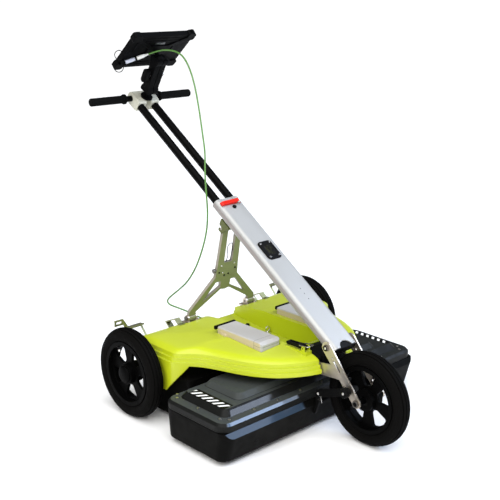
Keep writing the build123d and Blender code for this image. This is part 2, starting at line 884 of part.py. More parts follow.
with BuildPart() as body_cover:
    with BuildSketch(across(lobe_in)):
        with BuildLine():
            top_z = cover_z + step_h / 2
            back = Polyline((cover_mid + lobe_head, top_z), (cover_rear, top_z))
            foot = Polyline(back @ 1, (cover_rear, lobe_z), (rear_y + lobe_foot, lobe_z))
            edge_mid = (rear_y + lobe_bend[0], lobe_bend[1])
            edge = ThreePointArc(foot @ 1, edge_mid, (rear_y + lobe_edge[0], lobe_edge[1]))
            Line(edge @ 1, back @ 0)
        make_face()
    extrude(amount=cover_half - lobe_in)
    mirror(about=Plane.YZ)
    with BuildSketch(level(lobe_z - wall)):
        cover_outline(0)
    extrude(amount=cover_z, mode=Mode.INTERSECT)
    with BuildSketch(level(cover_z)):
        cover_outline(0)
    extrude(amount=step_h)
    with BuildSketch(level(cover_z)):
        cover_outline(step_in)
    extrude(amount=2 * step_h)
    with BuildSketch(level(cover_z)):
        cover_outline(2 * step_in)
    extrude(amount=3 * step_h)
    crowned_deck(0, 0)
    with BuildSketch(across(-valley_half - wall)):
        valley_profile(wall, valley_front - wall, cover_rear, cover_z + step_h)
    extrude(amount=2 * (valley_half + wall))
    with BuildSketch(level(cover_z + step_h)):
        with Locations((latch_x, latch_front)):
            Rectangle(2 * latch_half, latch_rear - latch_front, align=(Align.CENTER, Align.MIN))
    extrude(amount=latch_z - cover_z - step_h)
    with BuildSketch(across(latch_x + bail_half + slack), across(latch_x - latch_half)):
        with Locations((latch_pin_y, latch_pin_z)):
            Circle(latch_ear_r)
        with Locations((latch_pin_y, latch_z - latch_root)):
            Rectangle(2 * latch_ear_r, latch_pin_z - latch_z + latch_root, align=(Align.CENTER, Align.MIN))
        with Locations((latch_pin_y, latch_pin_z)):
            Circle(latch_pin_r + running, mode=Mode.SUBTRACT)
    extrude(amount=latch_ear_t)
    add(cover_cavity.part, mode=Mode.SUBTRACT)
    with BuildSketch(across(-valley_half)):
        valley_profile(0, valley_front, cover_rear + 2 * wall, battery_top)
    extrude(amount=2 * valley_half, mode=Mode.SUBTRACT)
    with BuildSketch(level(well_floor)):
        for x in (well_in, -well_in - well_w):
            with Locations((x, well_front)):
                Rectangle(well_w, well_len, align=(Align.MIN, Align.MIN))
    extrude(amount=battery_top - well_floor, mode=Mode.SUBTRACT)
    with BuildSketch(level(foot_plate_z)):
        for x in (-foot_x, foot_x):
            with Locations((x, pad_front)):
                Rectangle(2 * pad_half, cover_rear - pad_front + wall, align=(Align.CENTER, Align.MIN))
    extrude(amount=battery_top - foot_plate_z, mode=Mode.SUBTRACT)
    with BuildSketch(level(lobe_z)):
        with Locations((0, valley_front - wall)):
            Rectangle(2 * notch_half, -cover_front, align=(Align.CENTER, Align.MAX))
    extrude(amount=battery_top - lobe_z, mode=Mode.SUBTRACT)
    with BuildSketch(across(-cover_half - wall)):
        with Locations((rear_y, wheel_r)):
            Circle(shoulder_axle_r + axle_hole_gap)
    extrude(amount=2 * (cover_half + wall), mode=Mode.SUBTRACT)
    with BuildSketch(level(foot_plate_z - 2 * wall)):
        with Locations((-foot_x, post_y), (foot_x, post_y)):
            Circle(post_r + slack)
    extrude(amount=3 * wall, mode=Mode.SUBTRACT)
body_cover.part.label = "body_cover"
export_step(body_cover.part, "parts/body_cover.step")

# Feet of the stay: a plate with two ears on the cover, and a post down to the rear beam
ear_in = foot_w / 2 + slack
with BuildPart() as stay_feet:
    with BuildSketch(level(foot_plate_z)):
        with Locations((foot_x, pad_front + foot_rim)):
            foot_len = cover_rear - pad_front - foot_margin
            Rectangle(2 * (pad_half - foot_margin), foot_len, align=(Align.CENTER, Align.MIN))
    extrude(amount=foot_plate_t)
    with BuildSketch(across(foot_x + ear_in), across(foot_x - ear_in - foot_ear_t)):
        with Locations((foot_y, foot_z)):
            Circle(foot_r + foot_rim)
        with Locations((foot_y, foot_plate_z)):
            Rectangle(2 * (foot_r + foot_rim), foot_z - foot_plate_z, align=(Align.CENTER, Align.MIN))
        with Locations((foot_y, foot_z)):
            Circle(foot_pin_r + seat_gap, mode=Mode.SUBTRACT)
    extrude(amount=foot_ear_t)
    with BuildSketch(level(beam_z + beam_h)):
        with Locations((foot_x, post_y)):
            Circle(post_r)
    extrude(amount=foot_plate_z + foot_rim - beam_z - beam_h)
    mirror(about=Plane.YZ)
stay_feet.part.label = "stay_feet"
export_step(stay_feet.part, "parts/stay_feet.step")

# Lifting handles: a bent flat bar from the deck to the rear wall of the cover
with BuildPart() as lift_handles:
    with BuildSketch(across(lift_x - flat_w / 2)):
        with BuildLine():
            Polyline(
                (rear_y + lift_toe[0], lift_seat_z + lift_toe[1]),
                (rear_y + lift_heel, lift_seat_z),
                (rear_y + lift_crest[0], lift_seat_z + lift_crest[1]),
                (rear_y + lift_grip[0], lift_seat_z + lift_grip[1]),
                (cover_rear + slack, cover_z + 2 * step_h),
                (cover_rear + slack, cover_z + lift_foot),
            )
            offset(amount=flat_t, side=Side.LEFT, kind=Kind.INTERSECTION)
        make_face()
    extrude(amount=flat_w)
    mirror(about=Plane.YZ)
lift_handles.part.label = "lift_handles"
export_step(lift_handles.part, "parts/lift_handles.step")

# Rear handles: a flat bar across the rear end of each lobe, on two legs, with a raised eye behind the tyre
with BuildPart() as rear_handles:
    with BuildSketch(across(rear_in)):
        with BuildLine():
            Polyline(
                (cover_rear + slack, cover_z + rear_foot[0]),
                (cover_rear + slack, cover_z + rear_foot[1]),
                (rear_y + rear_grip[0], rear_grip[1]),
                (rear_y + rear_lip[0], rear_lip[1]),
            )
            offset(amount=flat_t, side=Side.RIGHT, kind=Kind.INTERSECTION)
        make_face()
    extrude(amount=rear_out - rear_in)
    with BuildSketch(level(cover_z)):
        with Locations(((rear_in + rear_out) / 2, cover_rear + slack + flat_t)):
            gap_w = rear_out - rear_in - 2 * rear_leg_w
            Rectangle(gap_w, rear_y + rear_grip[0] - cover_rear, align=(Align.CENTER, Align.MIN))
    extrude(amount=rear_gap_h - cover_z, mode=Mode.SUBTRACT)
    tab_rear = rear_grip[0]
    tab_low = wheel_r + sqrt((wheel_r + tab_gap) ** 2 - (tab_rear - flat_t) ** 2)
    tab_top = tab_low + tab_h
    tab_in = track_half - tyre_half - tab_gap / 2
    tab_out = tab_in + tab_w
    tab_origin = (0, datum_y + rear_y + tab_rear, 0)
    with BuildSketch(Plane(tab_origin, x_dir=(1, 0, 0), z_dir=(0, -1, 0))):
        with BuildLine():
            Polyline(
                (rear_out - tab_root, rear_grip[1] - flat_t),
                (rear_out, rear_grip[1] - flat_t),
                (tab_in, tab_low),
                (tab_out, tab_low),
                (tab_out, tab_top),
                (tab_in, tab_top),
                (rear_out - tab_root, rear_grip[1] + flat_t),
                close=True,
            )
        make_face()
        with Locations(((tab_in + tab_out) / 2, (tab_low + tab_top) / 2)):
            RectangleRounded(tab_w - 2 * tab_rim, tab_h - 2 * tab_rim, tab_slot_r, mode=Mode.SUBTRACT)
    extrude(amount=flat_t)
    mirror(about=Plane.YZ)
rear_handles.part.label = "rear_handles"
export_step(rear_handles.part, "parts/rear_handles.step")

# Hinge housing: black moulding between the fork plates, over the front beam
housing_rear = valley_front - wall - housing_gap
housing_half = fork_in - lug_t - housing_gap
with BuildPart() as hinge_housing:
    with BuildSketch(across(-housing_half)):
        with BuildLine():
            Polyline(
                (housing_rear, rail_z + rail_h),
                (housing_rear, housing_top - housing_drop / 3),
                (housing_rear - housing_brow, housing_top),
                (housing_front, housing_top - housing_drop),
                (housing_front - housing_chin[0], housing_top - housing_chin[1]),
                (rail_front - lug_t, rail_z + rail_h),
                close=True,
            )
        make_face()
    extrude(amount=2 * housing_half)
    with BuildSketch(across(housing_gap - notch_half)):
        with BuildLine():
            Polyline(
                (housing_rear, fork_arm_z[1] + lug_rise),
                (housing_rear, housing_top - housing_drop / 3),
                (housing_rear - housing_brow, housing_top),
                (housing_front + housing_chin[0], housing_top - housing_drop),
                (housing_front + housing_chin[0], fork_arm_z[1] + lug_rise),
                close=True,
            )
        make_face()
    extrude(amount=2 * (notch_half - housing_gap))
hinge_housing.part.label = "hinge_housing"
export_step(hinge_housing.part, "parts/hinge_housing.step")

# Latch: a black bail that tips up between two ears on the cover
with BuildPart() as latch_lever:
    with BuildSketch(across(latch_x - bail_half)):
        with Locations((latch_pin_y, latch_pin_z)):
            Circle(bail_r)
        with BuildLine():
            Polyline(
                (latch_pin_y, latch_pin_z - 0.7 * bail_r),
                (latch_rear - bail_lip / 2, latch_z + bail_lip / 3),
                (latch_rear, latch_z + 0.6 * bail_lip),
                (latch_rear - bail_lip / 4, latch_z + bail_lip),
                (latch_pin_y + bail_hump[0], latch_pin_z + bail_hump[1]),
                (latch_pin_y, latch_pin_z + bail_r),
                close=True,
            )
        make_face()
    extrude(amount=2 * bail_half)
    with BuildSketch(level(latch_z)):
        with Locations((latch_x, latch_rear - bail_window[0])):
            Rectangle(bail_half, bail_window[1], align=(Align.CENTER, Align.MAX))
    extrude(amount=2 * (latch_pin_z - latch_z), mode=Mode.SUBTRACT)
    with BuildSketch(across(latch_x - latch_half)):
        with Locations((latch_pin_y, latch_pin_z)):
            Circle(latch_pin_r)
    extrude(amount=2 * latch_half)
latch_lever.part.label = "latch_lever"
export_step(latch_lever.part, "parts/latch_lever.step")

# Batteries: one pack in each well of the cover
for side, x in {"right": -battery_in - battery_w, "left": battery_in}.items():
    with BuildPart() as battery:
        with BuildSketch(level(well_floor)):
            with Locations((x + battery_w / 2, battery_front + battery_len / 2)):
                RectangleRounded(battery_w, battery_len, battery_corner)
        extrude(amount=battery_top - well_floor)
        fillet(battery.faces().sort_by(Axis.Z)[-1].edges(), battery_edge)
        with BuildSketch(across(x)):
            with BuildLine():
                Polyline(
                    (battery_front, battery_top - battery_slant[1]),
                    (battery_front, battery_top),
                    (battery_front + battery_slant[0], battery_top),
                    close=True,
                )
            make_face()
        extrude(amount=battery_w, mode=Mode.SUBTRACT)
    battery.part.label = f"{side}_battery"
    export_step(battery.part, f"parts/{side}_battery.step")

# Control unit on the tray, and the socket of the cable in the valley
with BuildPart() as control_unit:
    with BuildSketch(level(rail_z + seat_gap)):
        with Locations((rail_in + rail_w + unit_margin, beam_rear - beam_depth - unit_margin)):
            Rectangle(tray_w - 2 * unit_margin, tray_d - 2 * unit_margin, align=(Align.MIN, Align.MAX))
    extrude(amount=rail_h)
    fillet(control_unit.edges().filter_by(Axis.Z), unit_corner)
control_unit.part.label = "control_unit"
export_step(control_unit.part, "parts/control_unit.step")

cable_end_dir = (cable_end_x - cable_last[0], cable_end_y - cable_last[1], cable_end_z - cable_last[2])
socket_rear = cable_end_y - socket_back
socket_front = socket_rear - socket_len
with BuildPart() as cable_socket:
    with BuildSketch(across(cable_end_x - socket_half)):
        with BuildLine():
            Polyline(
                (socket_rear, valley_floor(socket_rear)),
                (socket_rear, cable_end_z + socket_head),
                (socket_front, cable_end_z + socket_head),
                (socket_front, valley_floor(socket_front)),
                close=True,
            )
        make_face()
    extrude(amount=2 * socket_half)
    fillet(cable_socket.edges().filter_by(Axis.Z), socket_corner)
    with BuildSketch(Plane((cable_end_x, datum_y + cable_end_y, cable_end_z), z_dir=cable_end_dir)):
        Circle(gland_r)
    extrude(amount=gland_len)
cable_socket.part.label = "cable_socket"
export_step(cable_socket.part, "parts/cable_socket.step")


# Antenna box: tub, lid, screws, the antenna array inside and the link arms
def box_outline(half, front, rear, corner):
    """Rounded plan outline of the antenna box."""
    with Locations((0, (front + rear) / 2)):
        RectangleRounded(2 * half, rear - front, corner)


def tub_front(z):
    """Place of the tub's sloping front wall at height z."""
    return box_low_front + (box_front - box_low_front) * (z - box_z) / (box_full_z - box_z)


with BuildPart() as antenna_tub:
    with BuildSketch(level(box_z)):
        box_outline(box_low_half, box_low_front, box_low_rear, box_corner - corner_step)
    with BuildSketch(level(box_full_z)):
        box_outline(box_half, box_front, box_rear, box_corner)
    loft()
    with BuildSketch(level(box_full_z)):
        box_outline(box_half, box_front, box_rear, box_corner)
    extrude(amount=tub_top - box_full_z)
    fillet(antenna_tub.faces().sort_by(Axis.Z)[0].edges(), tub_edge_r)
    with BuildSketch(across(-box_half)):
        with BuildLine():
            Polyline(
                (box_front - 1, tub_top - bevel_z - bevel_z / bevel_y),
                (box_front - 1, tub_top + 1),
                (box_front + bevel_y + bevel_y / bevel_z, tub_top + 1),
                close=True,
            )
        make_face()
    extrude(amount=2 * box_half, mode=Mode.SUBTRACT)
    with BuildSketch(level(box_z + tub_wall)):
        box_outline(
            box_low_half - tub_wall,
            box_low_front + tub_wall,
            box_low_rear - tub_wall,
            box_corner - 2 * corner_step,
        )
    extrude(amount=tub_top - box_z, mode=Mode.SUBTRACT)
    bay_front = box_rear + slack
    bay_neck = bay_half - bay_corner
    with BuildSketch(level(box_z)):
        box_outline(bay_half, bay_front, bay_rear, bay_corner)
    extrude(amount=bay_top - box_z)
    with BuildSketch(level(box_z)):
        box_outline(bay_neck, box_low_rear - tub_wall, bay_front + bay_corner, tub_edge_r)
    extrude(amount=tub_top - box_z)
    with BuildSketch(level(box_z + tub_wall)):
        box_outline(bay_half - tub_wall, bay_front + tub_wall, bay_rear - tub_wall, bay_corner - tub_wall)
    extrude(amount=bay_top - box_z - 2 * tub_wall, mode=Mode.SUBTRACT)
    with BuildSketch(level(box_z + tub_wall)):
        box_outline(bay_neck - tub_wall, box_low_rear - 2 * tub_wall, bay_front + bay_corner, tub_wall)
    extrude(amount=tub_top - box_z - 2 * tub_wall, mode=Mode.SUBTRACT)
antenna_tub.part.label = "antenna_tub"
export_step(antenna_tub.part, "parts/antenna_tub.step")

with BuildPart() as antenna_array:
    board_half = box_low_half - tub_wall - board_margin
    board_d = box_low_rear - box_low_front - 2 * (tub_wall + board_margin)
    board_z = box_z + tub_wall + seat_gap
    with BuildSketch(level(board_z)):
        with Locations((0, (box_low_front + box_low_rear) / 2)):
            Rectangle(2 * board_half, board_d)
    extrude(amount=board_t)
    with BuildSketch(level(board_z + board_t)):
        with Locations((0, (box_low_front + box_low_rear) / 2)):
            with GridLocations(2 * board_half / modules, board_d / 2, modules, 2):
                Rectangle(module_w, module_d)
    extrude(amount=module_h)
    bay_mid = (bay_front + bay_rear) / 2
    bay_board_half = bay_half - tub_wall - board_margin
    bay_board_d = bay_rear - bay_front - 2 * (tub_wall + board_margin)
    with BuildSketch(level(board_z)):
        with Locations((0, bay_mid)):
            Rectangle(2 * bay_board_half, bay_board_d)
    extrude(amount=board_t)
    with BuildSketch(level(board_z + board_t)):
        with Locations((0, bay_mid)):
            with GridLocations(2 * bay_board_half / bay_modules, 0, bay_modules, 1):
                Rectangle(module_w, module_d)
    extrude(amount=module_h)
antenna_array.part.label = "antenna_array"
export_step(antenna_array.part, "parts/antenna_array.step")

lid_spots = [(x * lid_screw_step, y) for x in range(-4, 5) for y in (lid_row_front, lid_row_rear)]
lid_spots += [(x * lid_screw_x, y) for x in (-1, 1) for y in lid_side_rows]
lid_screw_z = tub_top + lid_screw_floor
with BuildPart() as antenna_lid:
    lid_front = box_front + bevel_y
    with BuildSketch(level(tub_top)):
        box_outline(box_half, lid_front, box_rear, box_corner)
    extrude(amount=lid_flange_z - tub_top)
    chamfer(antenna_lid.faces().sort_by(Axis.Z)[-1].edges(), lid_bevel)
    chamfer(antenna_lid.faces().sort_by(Axis.Z)[0].edges(), lid_seam)
    with BuildSketch(level(lid_flange_z)):
        box_outline(deck_half, deck_front, deck_rear, deck_corner)
    with BuildSketch(level(deck_z)):
        box_outline(deck_half - slope, deck_front + slope, deck_rear - slope, deck_corner - corner_step)
    loft()
    with BuildSketch(level(deck_z)):
        box_outline(hump_half, deck_front + 2 * slope, deck_rear - slope - lid_seam, deck_corner)
    with BuildSketch(level(hump_z)):
        hump_front = deck_front + 3 * slope
        box_outline(hump_half - slope, hump_front, deck_rear - 2 * slope, deck_corner - corner_step)
    loft()
    with BuildSketch(level(tub_top)):
        box_outline(
            deck_half - slope - lid_wall,
            deck_front + slope + lid_wall,
            deck_rear - slope - lid_wall,
            deck_corner - 2 * corner_step,
        )
    extrude(amount=deck_z - lid_wall - tub_top, mode=Mode.SUBTRACT)
    with BuildSketch(level(lid_screw_z)):
        with Locations(lid_spots):
            Circle(lid_screw_r + seat_gap)
    extrude(amount=lid_flange_z - lid_screw_z, mode=Mode.SUBTRACT)
antenna_lid.part.label = "antenna_lid"
export_step(antenna_lid.part, "parts/antenna_lid.step")

with BuildPart() as lid_screws:
    with BuildSketch(level(lid_screw_z)):
        with Locations(lid_spots):
            Circle(lid_screw_r)
    extrude(amount=lid_flange_z - lid_screw_z)
    with BuildSketch(level(lid_flange_z)):
        with Locations(lid_spots):
            Circle(lid_head_r)
    extrude(amount=lid_head_h)
lid_screws.part.label = "lid_screws"
export_step(lid_screws.part, "parts/lid_screws.step")

# Link arms: from the knobs on the fork plates down to the front wall of the tub
with BuildPart() as link_arms:
    with BuildSketch(across(link_x)):
        with Locations((knob_y, knob_z), (lug_y, lug_z)):
            Circle(link_w / 2)
        make_hull()
        with BuildLine():
            Polyline(
                (lug_y - link_w / 2, lug_z - link_neck),
                (tub_front(link_low_z) - link_toe, link_low_z),
                (tub_front(link_low_z) - slack, link_low_z),
                (tub_front(link_high_z) - slack, link_high_z),
                (box_front - slack, tub_top - bevel_z),
                (lug_y + link_w / 2, lug_z - link_neck),
                (lug_y, lug_z),
                close=True,
            )
        make_face()
        with Locations((knob_y, knob_z)):
            Circle(stud_r + running, mode=Mode.SUBTRACT)
    extrude(amount=link_t)
    mirror(about=Plane.YZ)
link_arms.part.label = "link_arms"
export_step(link_arms.part, "parts/link_arms.step")

with BuildPart() as pivot_knobs:
    with BuildSketch(across(fork_in)):
        with Locations((knob_y, knob_z)):
            Circle(stud_r)
    extrude(amount=link_x + link_t + slack - fork_in)
    with BuildSketch(across(link_x + link_t + slack)):
        with Locations((knob_y, knob_z)):
            Circle(knob_r)
            with PolarLocations(knob_dent_at, knob_lobes):
                Circle(knob_dent_r, mode=Mode.SUBTRACT)
    extrude(amount=knob_t)
    mirror(about=Plane.YZ)
pivot_knobs.part.label = "pivot_knobs"
export_step(pivot_knobs.part, "parts/pivot_knobs.step")

# Mast: flat extrusion with two bores for the handle tubes, a core between them and a pocket at its foot
with BuildPart() as mast_extrusion:
    with BuildSketch(mast_section(mast_top)):
        RectangleRounded(mast_w, mast_h, mast_edge_r)
    extrude(amount=mast_top - mast_bottom)
    with BuildSketch(mast_section(mast_top)):
        with Locations((-tube_x, 0), (tube_x, 0)):
            Circle(tube_r + tube_slack)
        Rectangle(core_w, core_h)
    extrude(amount=mast_top - plug_len / 2, mode=Mode.SUBTRACT)
    with BuildSketch(mast_section(mast_bottom + plug_len)):
        RectangleRounded(mast_w - 2 * plug_wall, mast_h - 2 * plug_wall, mast_edge_r - plug_wall)
    extrude(amount=2 * plug_len, mode=Mode.SUBTRACT)
    with BuildSketch(mast_face(0)):
        with Locations((0, -foot_cut_at)):
            Circle(foot_cut_r)
    extrude(amount=mast_h, mode=Mode.SUBTRACT)
    with BuildSketch(mast_side(-mast_w)):
        Circle(pivot_bolt_r + pivot_bore_gap)
    extrude(amount=2 * mast_w, mode=Mode.SUBTRACT)
    with BuildSketch(mast_face(mast_h / 2 - screw_deep)):
        with Locations((0, plate_d)):
            with GridLocations(2 * plate_screw[0], 2 * plate_screw[1], 2, 2):
                Circle(screw_r + seat_gap)
    extrude(amount=mast_h, mode=Mode.SUBTRACT)
    with BuildSketch(mast_face(0)):
        with Locations([(0, d) for d in rail_holes]):
            Circle(rail_hole_r)
        with Locations((0, lever_screw_d)):
            Circle(screw_r + seat_gap)
    extrude(amount=mast_h, mode=Mode.SUBTRACT)
mast_extrusion.part.label = "mast_extrusion"
export_step(mast_extrusion.part, "parts/mast_extrusion.step")

with BuildPart() as mast_end_plug:
    with BuildSketch(mast_section(mast_bottom + plug_len - slack)):
        inset = plug_wall + seat_gap
        RectangleRounded(mast_w - 2 * inset, mast_h - 2 * inset, mast_edge_r - inset)
    extrude(amount=plug_len - slack + plug_proud)
    with BuildSketch(mast_side(-mast_w)):
        Circle(pivot_bolt_r + running)
    extrude(amount=2 * mast_w, mode=Mode.SUBTRACT)
mast_end_plug.part.label = "mast_end_plug"
export_step(mast_end_plug.part, "parts/mast_end_plug.step")

# Guide at the top of the mast, with the ears of the clamp lever
lever_mid_n = mast_h / 2 + lever_rise
ear_low = lever_d - lever_w / 2 - slack - ear_t
ear_high = lever_d + lever_w / 2 + slack
with BuildPart() as mast_guide:
    with BuildSketch(mast_section(mast_top + guide_t)):
        RectangleRounded(mast_w, mast_h, mast_edge_r)
        with Locations((-tube_x, 0), (tube_x, 0)):
            Circle(tube_r + running, mode=Mode.SUBTRACT)
    extrude(amount=guide_t)
    with BuildSketch(mast_face(mast_h / 2 + seat_gap)):
        with Locations((lever_hinge_x, mast_top + guide_t)):
            Rectangle(guide_pad_w, mast_top + guide_t - ear_low, align=(Align.CENTER, Align.MAX))
    extrude(amount=guide_pad_t)
    with BuildSketch(mast_face(mast_h / 2 - guide_pad_root)):
        with Locations((lever_hinge_x, mast_top)):
            Rectangle(guide_pad_w, guide_t, align=(Align.CENTER, Align.MIN))
    extrude(amount=guide_pad_root + guide_pad_t)
    with BuildSketch(mast_section(ear_low + ear_t), mast_section(ear_high + ear_t)):
        with Locations((lever_hinge_x, mast_h / 2 + seat_gap)):
            Rectangle(2 * ear_r, lever_mid_n - mast_h / 2, align=(Align.CENTER, Align.MIN))
        with Locations((lever_hinge_x, lever_mid_n)):
            Circle(ear_r)
            Circle(lever_pin_r + running, mode=Mode.SUBTRACT)
    extrude(amount=ear_t)
mast_guide.part.label = "mast_guide"
export_step(mast_guide.part, "parts/mast_guide.step")

with BuildPart() as clamp_lever:
    with BuildSketch(mast_section(lever_d + lever_w / 2)):
        with Locations((lever_hinge_x, lever_mid_n)):
            Circle(lever_eye_r)
        with BuildLine():
            Polyline(
                (lever_hinge_x, lever_mid_n + lever_eye_r),
                (lever_end_x + lever_tip, lever_mid_n + lever_eye_r / 2),
                (lever_end_x, lever_mid_n - lever_eye_r / 2),
                (lever_end_x, mast_h / 2 + lever_gap),
                (lever_hinge_x - lever_heel[0], mast_h / 2 + lever_gap),
                (lever_hinge_x - lever_heel[1], lever_mid_n - lever_eye_r / 2),
                (lever_hinge_x, lever_mid_n - lever_eye_r),
                close=True,
            )
        make_face()
    extrude(amount=lever_w)
    with BuildSketch(mast_section(ear_high + ear_t)):
        with Locations((lever_hinge_x, lever_mid_n)):
            Circle(lever_pin_r)
    extrude(amount=ear_high - ear_low + ear_t)
clamp_lever.part.label = "clamp_lever"
export_step(clamp_lever.part, "parts/clamp_lever.step")

with BuildPart() as mast_cover_plate:
    with BuildSketch(mast_face(mast_h / 2)):
        with Locations((0, plate_d)):
            RectangleRounded(plate_w, plate_len, plate_corner)
            with GridLocations(2 * plate_screw[0], 2 * plate_screw[1], 2, 2):
                Circle(screw_r + seat_gap, mode=Mode.SUBTRACT)
    extrude(amount=plate_t)
    chamfer(mast_cover_plate.faces().sort_by(Axis(pivot, mast_up))[-1].outer_wire().edges(), plate_edge)
mast_cover_plate.part.label = "mast_cover_plate"
export_step(mast_cover_plate.part, "parts/mast_cover_plate.step")

with BuildPart() as mast_screws:
    with BuildSketch(mast_face(mast_h / 2 - screw_deep)):
        with Locations((0, plate_d)):
            with GridLocations(2 * plate_screw[0], 2 * plate_screw[1], 2, 2):
                Circle(screw_r)
    extrude(amount=screw_deep + plate_t)
    with BuildSketch(mast_face(mast_h / 2 + plate_t)):
        with Locations((0, plate_d)):
            with GridLocations(2 * plate_screw[0], 2 * plate_screw[1], 2, 2):
                Circle(screw_head_r)
    extrude(amount=screw_head_h)
    with BuildSketch(mast_face(mast_h / 2 - screw_deep)):
        with Locations((0, lever_screw_d)):
            Circle(screw_r)
    extrude(amount=screw_deep)
    with BuildSketch(mast_face(mast_h / 2)):
        with Locations((0, lever_screw_d)):
            Circle(washer_r)
    extrude(amount=screw_head_h)
mast_screws.part.label = "mast_screws"
export_step(mast_screws.part, "parts/mast_screws.step")

# Hooks under the mast, open to the rear, that take the stubs of the stay
stub_d = (stay_foot + stay_up * stub_v - pivot).dot(mast_dir)
hook_low = stub_n - stub_r - hook_wall
hook_in = stay_half_top + hook_gap
with BuildPart() as stay_hooks:
    with BuildSketch(mast_side(hook_in)):
        with BuildLine():
            Polyline(
                (stub_d - hook_front_len, -mast_h / 2),
                (stub_d + hook_rear_len, -mast_h / 2),
                (stub_d + hook_lip[0], stub_n),
                (stub_d + hook_lip[1], hook_low),
                (stub_d - hook_toe, hook_low),
                close=True,
            )
        make_face()
        with Locations((stub_d, stub_n)):
            Circle(stub_r + slack, mode=Mode.SUBTRACT)
        with BuildLine():
            Polyline(
                (stub_d, stub_n - stub_r - slack),
                (stub_d + 2 * hook_rear_len, stub_n - stub_r - slack),
                (stub_d + 2 * hook_rear_len, stub_n + stub_r + hook_mouth),
                (stub_d, stub_n + stub_r + slack),
                close=True,
            )
        make_face(mode=Mode.SUBTRACT)
    extrude(amount=hook_t)
    mirror(about=Plane.YZ)
    with BuildSketch(mast_face(-mast_h / 2)):
        with Locations((0, stub_d - hook_front_len)):
            hook_len = hook_front_len + hook_rear_len
            Rectangle(2 * (hook_in + hook_t), hook_len, align=(Align.CENTER, Align.MIN))
    extrude(amount=-hook_plate_t)
stay_hooks.part.label = "stay_hooks"
export_step(stay_hooks.part, "parts/stay_hooks.step")

# Handle: two tubes with glides in the mast, the block, the cross bar and its grips
with BuildPart() as handle_tubes:
    with BuildSketch(mast_section(tube_high)):
        with Locations((-tube_x, 0), (tube_x, 0)):
            Circle(tube_r)
            Circle(tube_r - tube_wall, mode=Mode.SUBTRACT)
    extrude(amount=tube_high - tube_low)
handle_tubes.part.label = "handle_tubes"
export_step(handle_tubes.part, "parts/handle_tubes.step")

with BuildPart() as tube_glides:
    with BuildSketch(mast_section(tube_low)):
        with Locations((-tube_x, 0), (tube_x, 0)):
            Circle(tube_r + tube_slack - 2 * running)
    extrude(amount=glide_len)
    with BuildSketch(mast_section(tube_low + glide_len)):
        with Locations((-tube_x, 0), (tube_x, 0)):
            Circle(tube_r - tube_wall - seat_gap)
    extrude(amount=glide_len)
tube_glides.part.label = "tube_glides"
export_step(tube_glides.part, "parts/tube_glides.step")

bar_d = (handle_y - pivot_y - bar_n * mast_up.Y) / mast_dir.Y
with BuildPart() as handle_block:
    with BuildSketch(mast_side(-block_half)):
        with Locations((bar_d, bar_n)):
            Circle(block_r)
        with Locations((block_low + block_edge_r, -tube_r), (block_low + block_edge_r, tube_r)):
            Circle(block_edge_r)
        make_hull()
        with Locations((bar_d, block_top)):
            Rectangle(4 * block_half, block_r, align=(Align.CENTER, Align.MIN), mode=Mode.SUBTRACT)
    extrude(amount=2 * block_half)
    fillet(handle_block.faces().filter_by(Axis.X).edges().filter_by(GeomType.CIRCLE), block_rim)
    with BuildSketch(mast_section(tube_high)):
        with Locations((-tube_x, 0), (tube_x, 0)):
            Circle(tube_r + seat_gap)
        Rectangle(block_slot_w, 4 * tube_r)
    extrude(amount=tube_high, mode=Mode.SUBTRACT)
    with BuildSketch(mast_side(-2 * block_half)):
        with Locations((bar_d, bar_n)):
            Circle(bar_r + seat_gap)
    extrude(amount=4 * block_half, mode=Mode.SUBTRACT)
handle_block.part.label = "handle_block"
export_step(handle_block.part, "parts/handle_block.step")

with BuildPart() as handle_bar:
    with BuildSketch(mast_side(grip_end_t - grip_out)):
        with Locations((bar_d, bar_n)):
            Circle(bar_r)
            Circle(bar_r - bar_wall, mode=Mode.SUBTRACT)
    extrude(amount=2 * (grip_out - grip_end_t))
handle_bar.part.label = "handle_bar"
export_step(handle_bar.part, "parts/handle_bar.step")

with BuildPart() as handle_grips:
    with BuildSketch(mast_side(grip_in)):
        with Locations((bar_d, bar_n)):
            Circle(grip_r)
    extrude(amount=grip_out - grip_in)
    fillet(handle_grips.faces().sort_by(Axis.X)[-1].edges(), grip_end_t)
    with BuildSketch(mast_side(grip_in)):
        with Locations((bar_d, bar_n)):
            Circle(grip_flange_r)
    extrude(amount=grip_flange_w)
    with BuildSketch(mast_side(grip_in)):
        with Locations((bar_d, bar_n)):
            Circle(bar_r + seat_gap)
    extrude(amount=grip_out - grip_in - grip_end_t + seat_gap, mode=Mode.SUBTRACT)
    mirror(about=Plane.YZ)
handle_grips.part.label = "handle_grips"
export_step(handle_grips.part, "parts/handle_grips.step")

base_d = (low_ball - pivot).dot(mast_dir)
low_ball_n = (low_ball - pivot).dot(mast_up)
with BuildPart() as ball_base:
    with BuildSketch(mast_face(block_top)):
        with Locations((0, base_d)):
            Circle(base_r)
    extrude(amount=base_t)
    with BuildSketch(mast_face(block_top + base_t)):
        with Locations((0, base_d)):
            Circle(stem_r)
    extrude(amount=low_ball_n - block_top - base_t)
    with Locations(low_ball):
        Sphere(ball_r)
ball_base.part.label = "ball_base"
export_step(ball_base.part, "parts/ball_base.step")

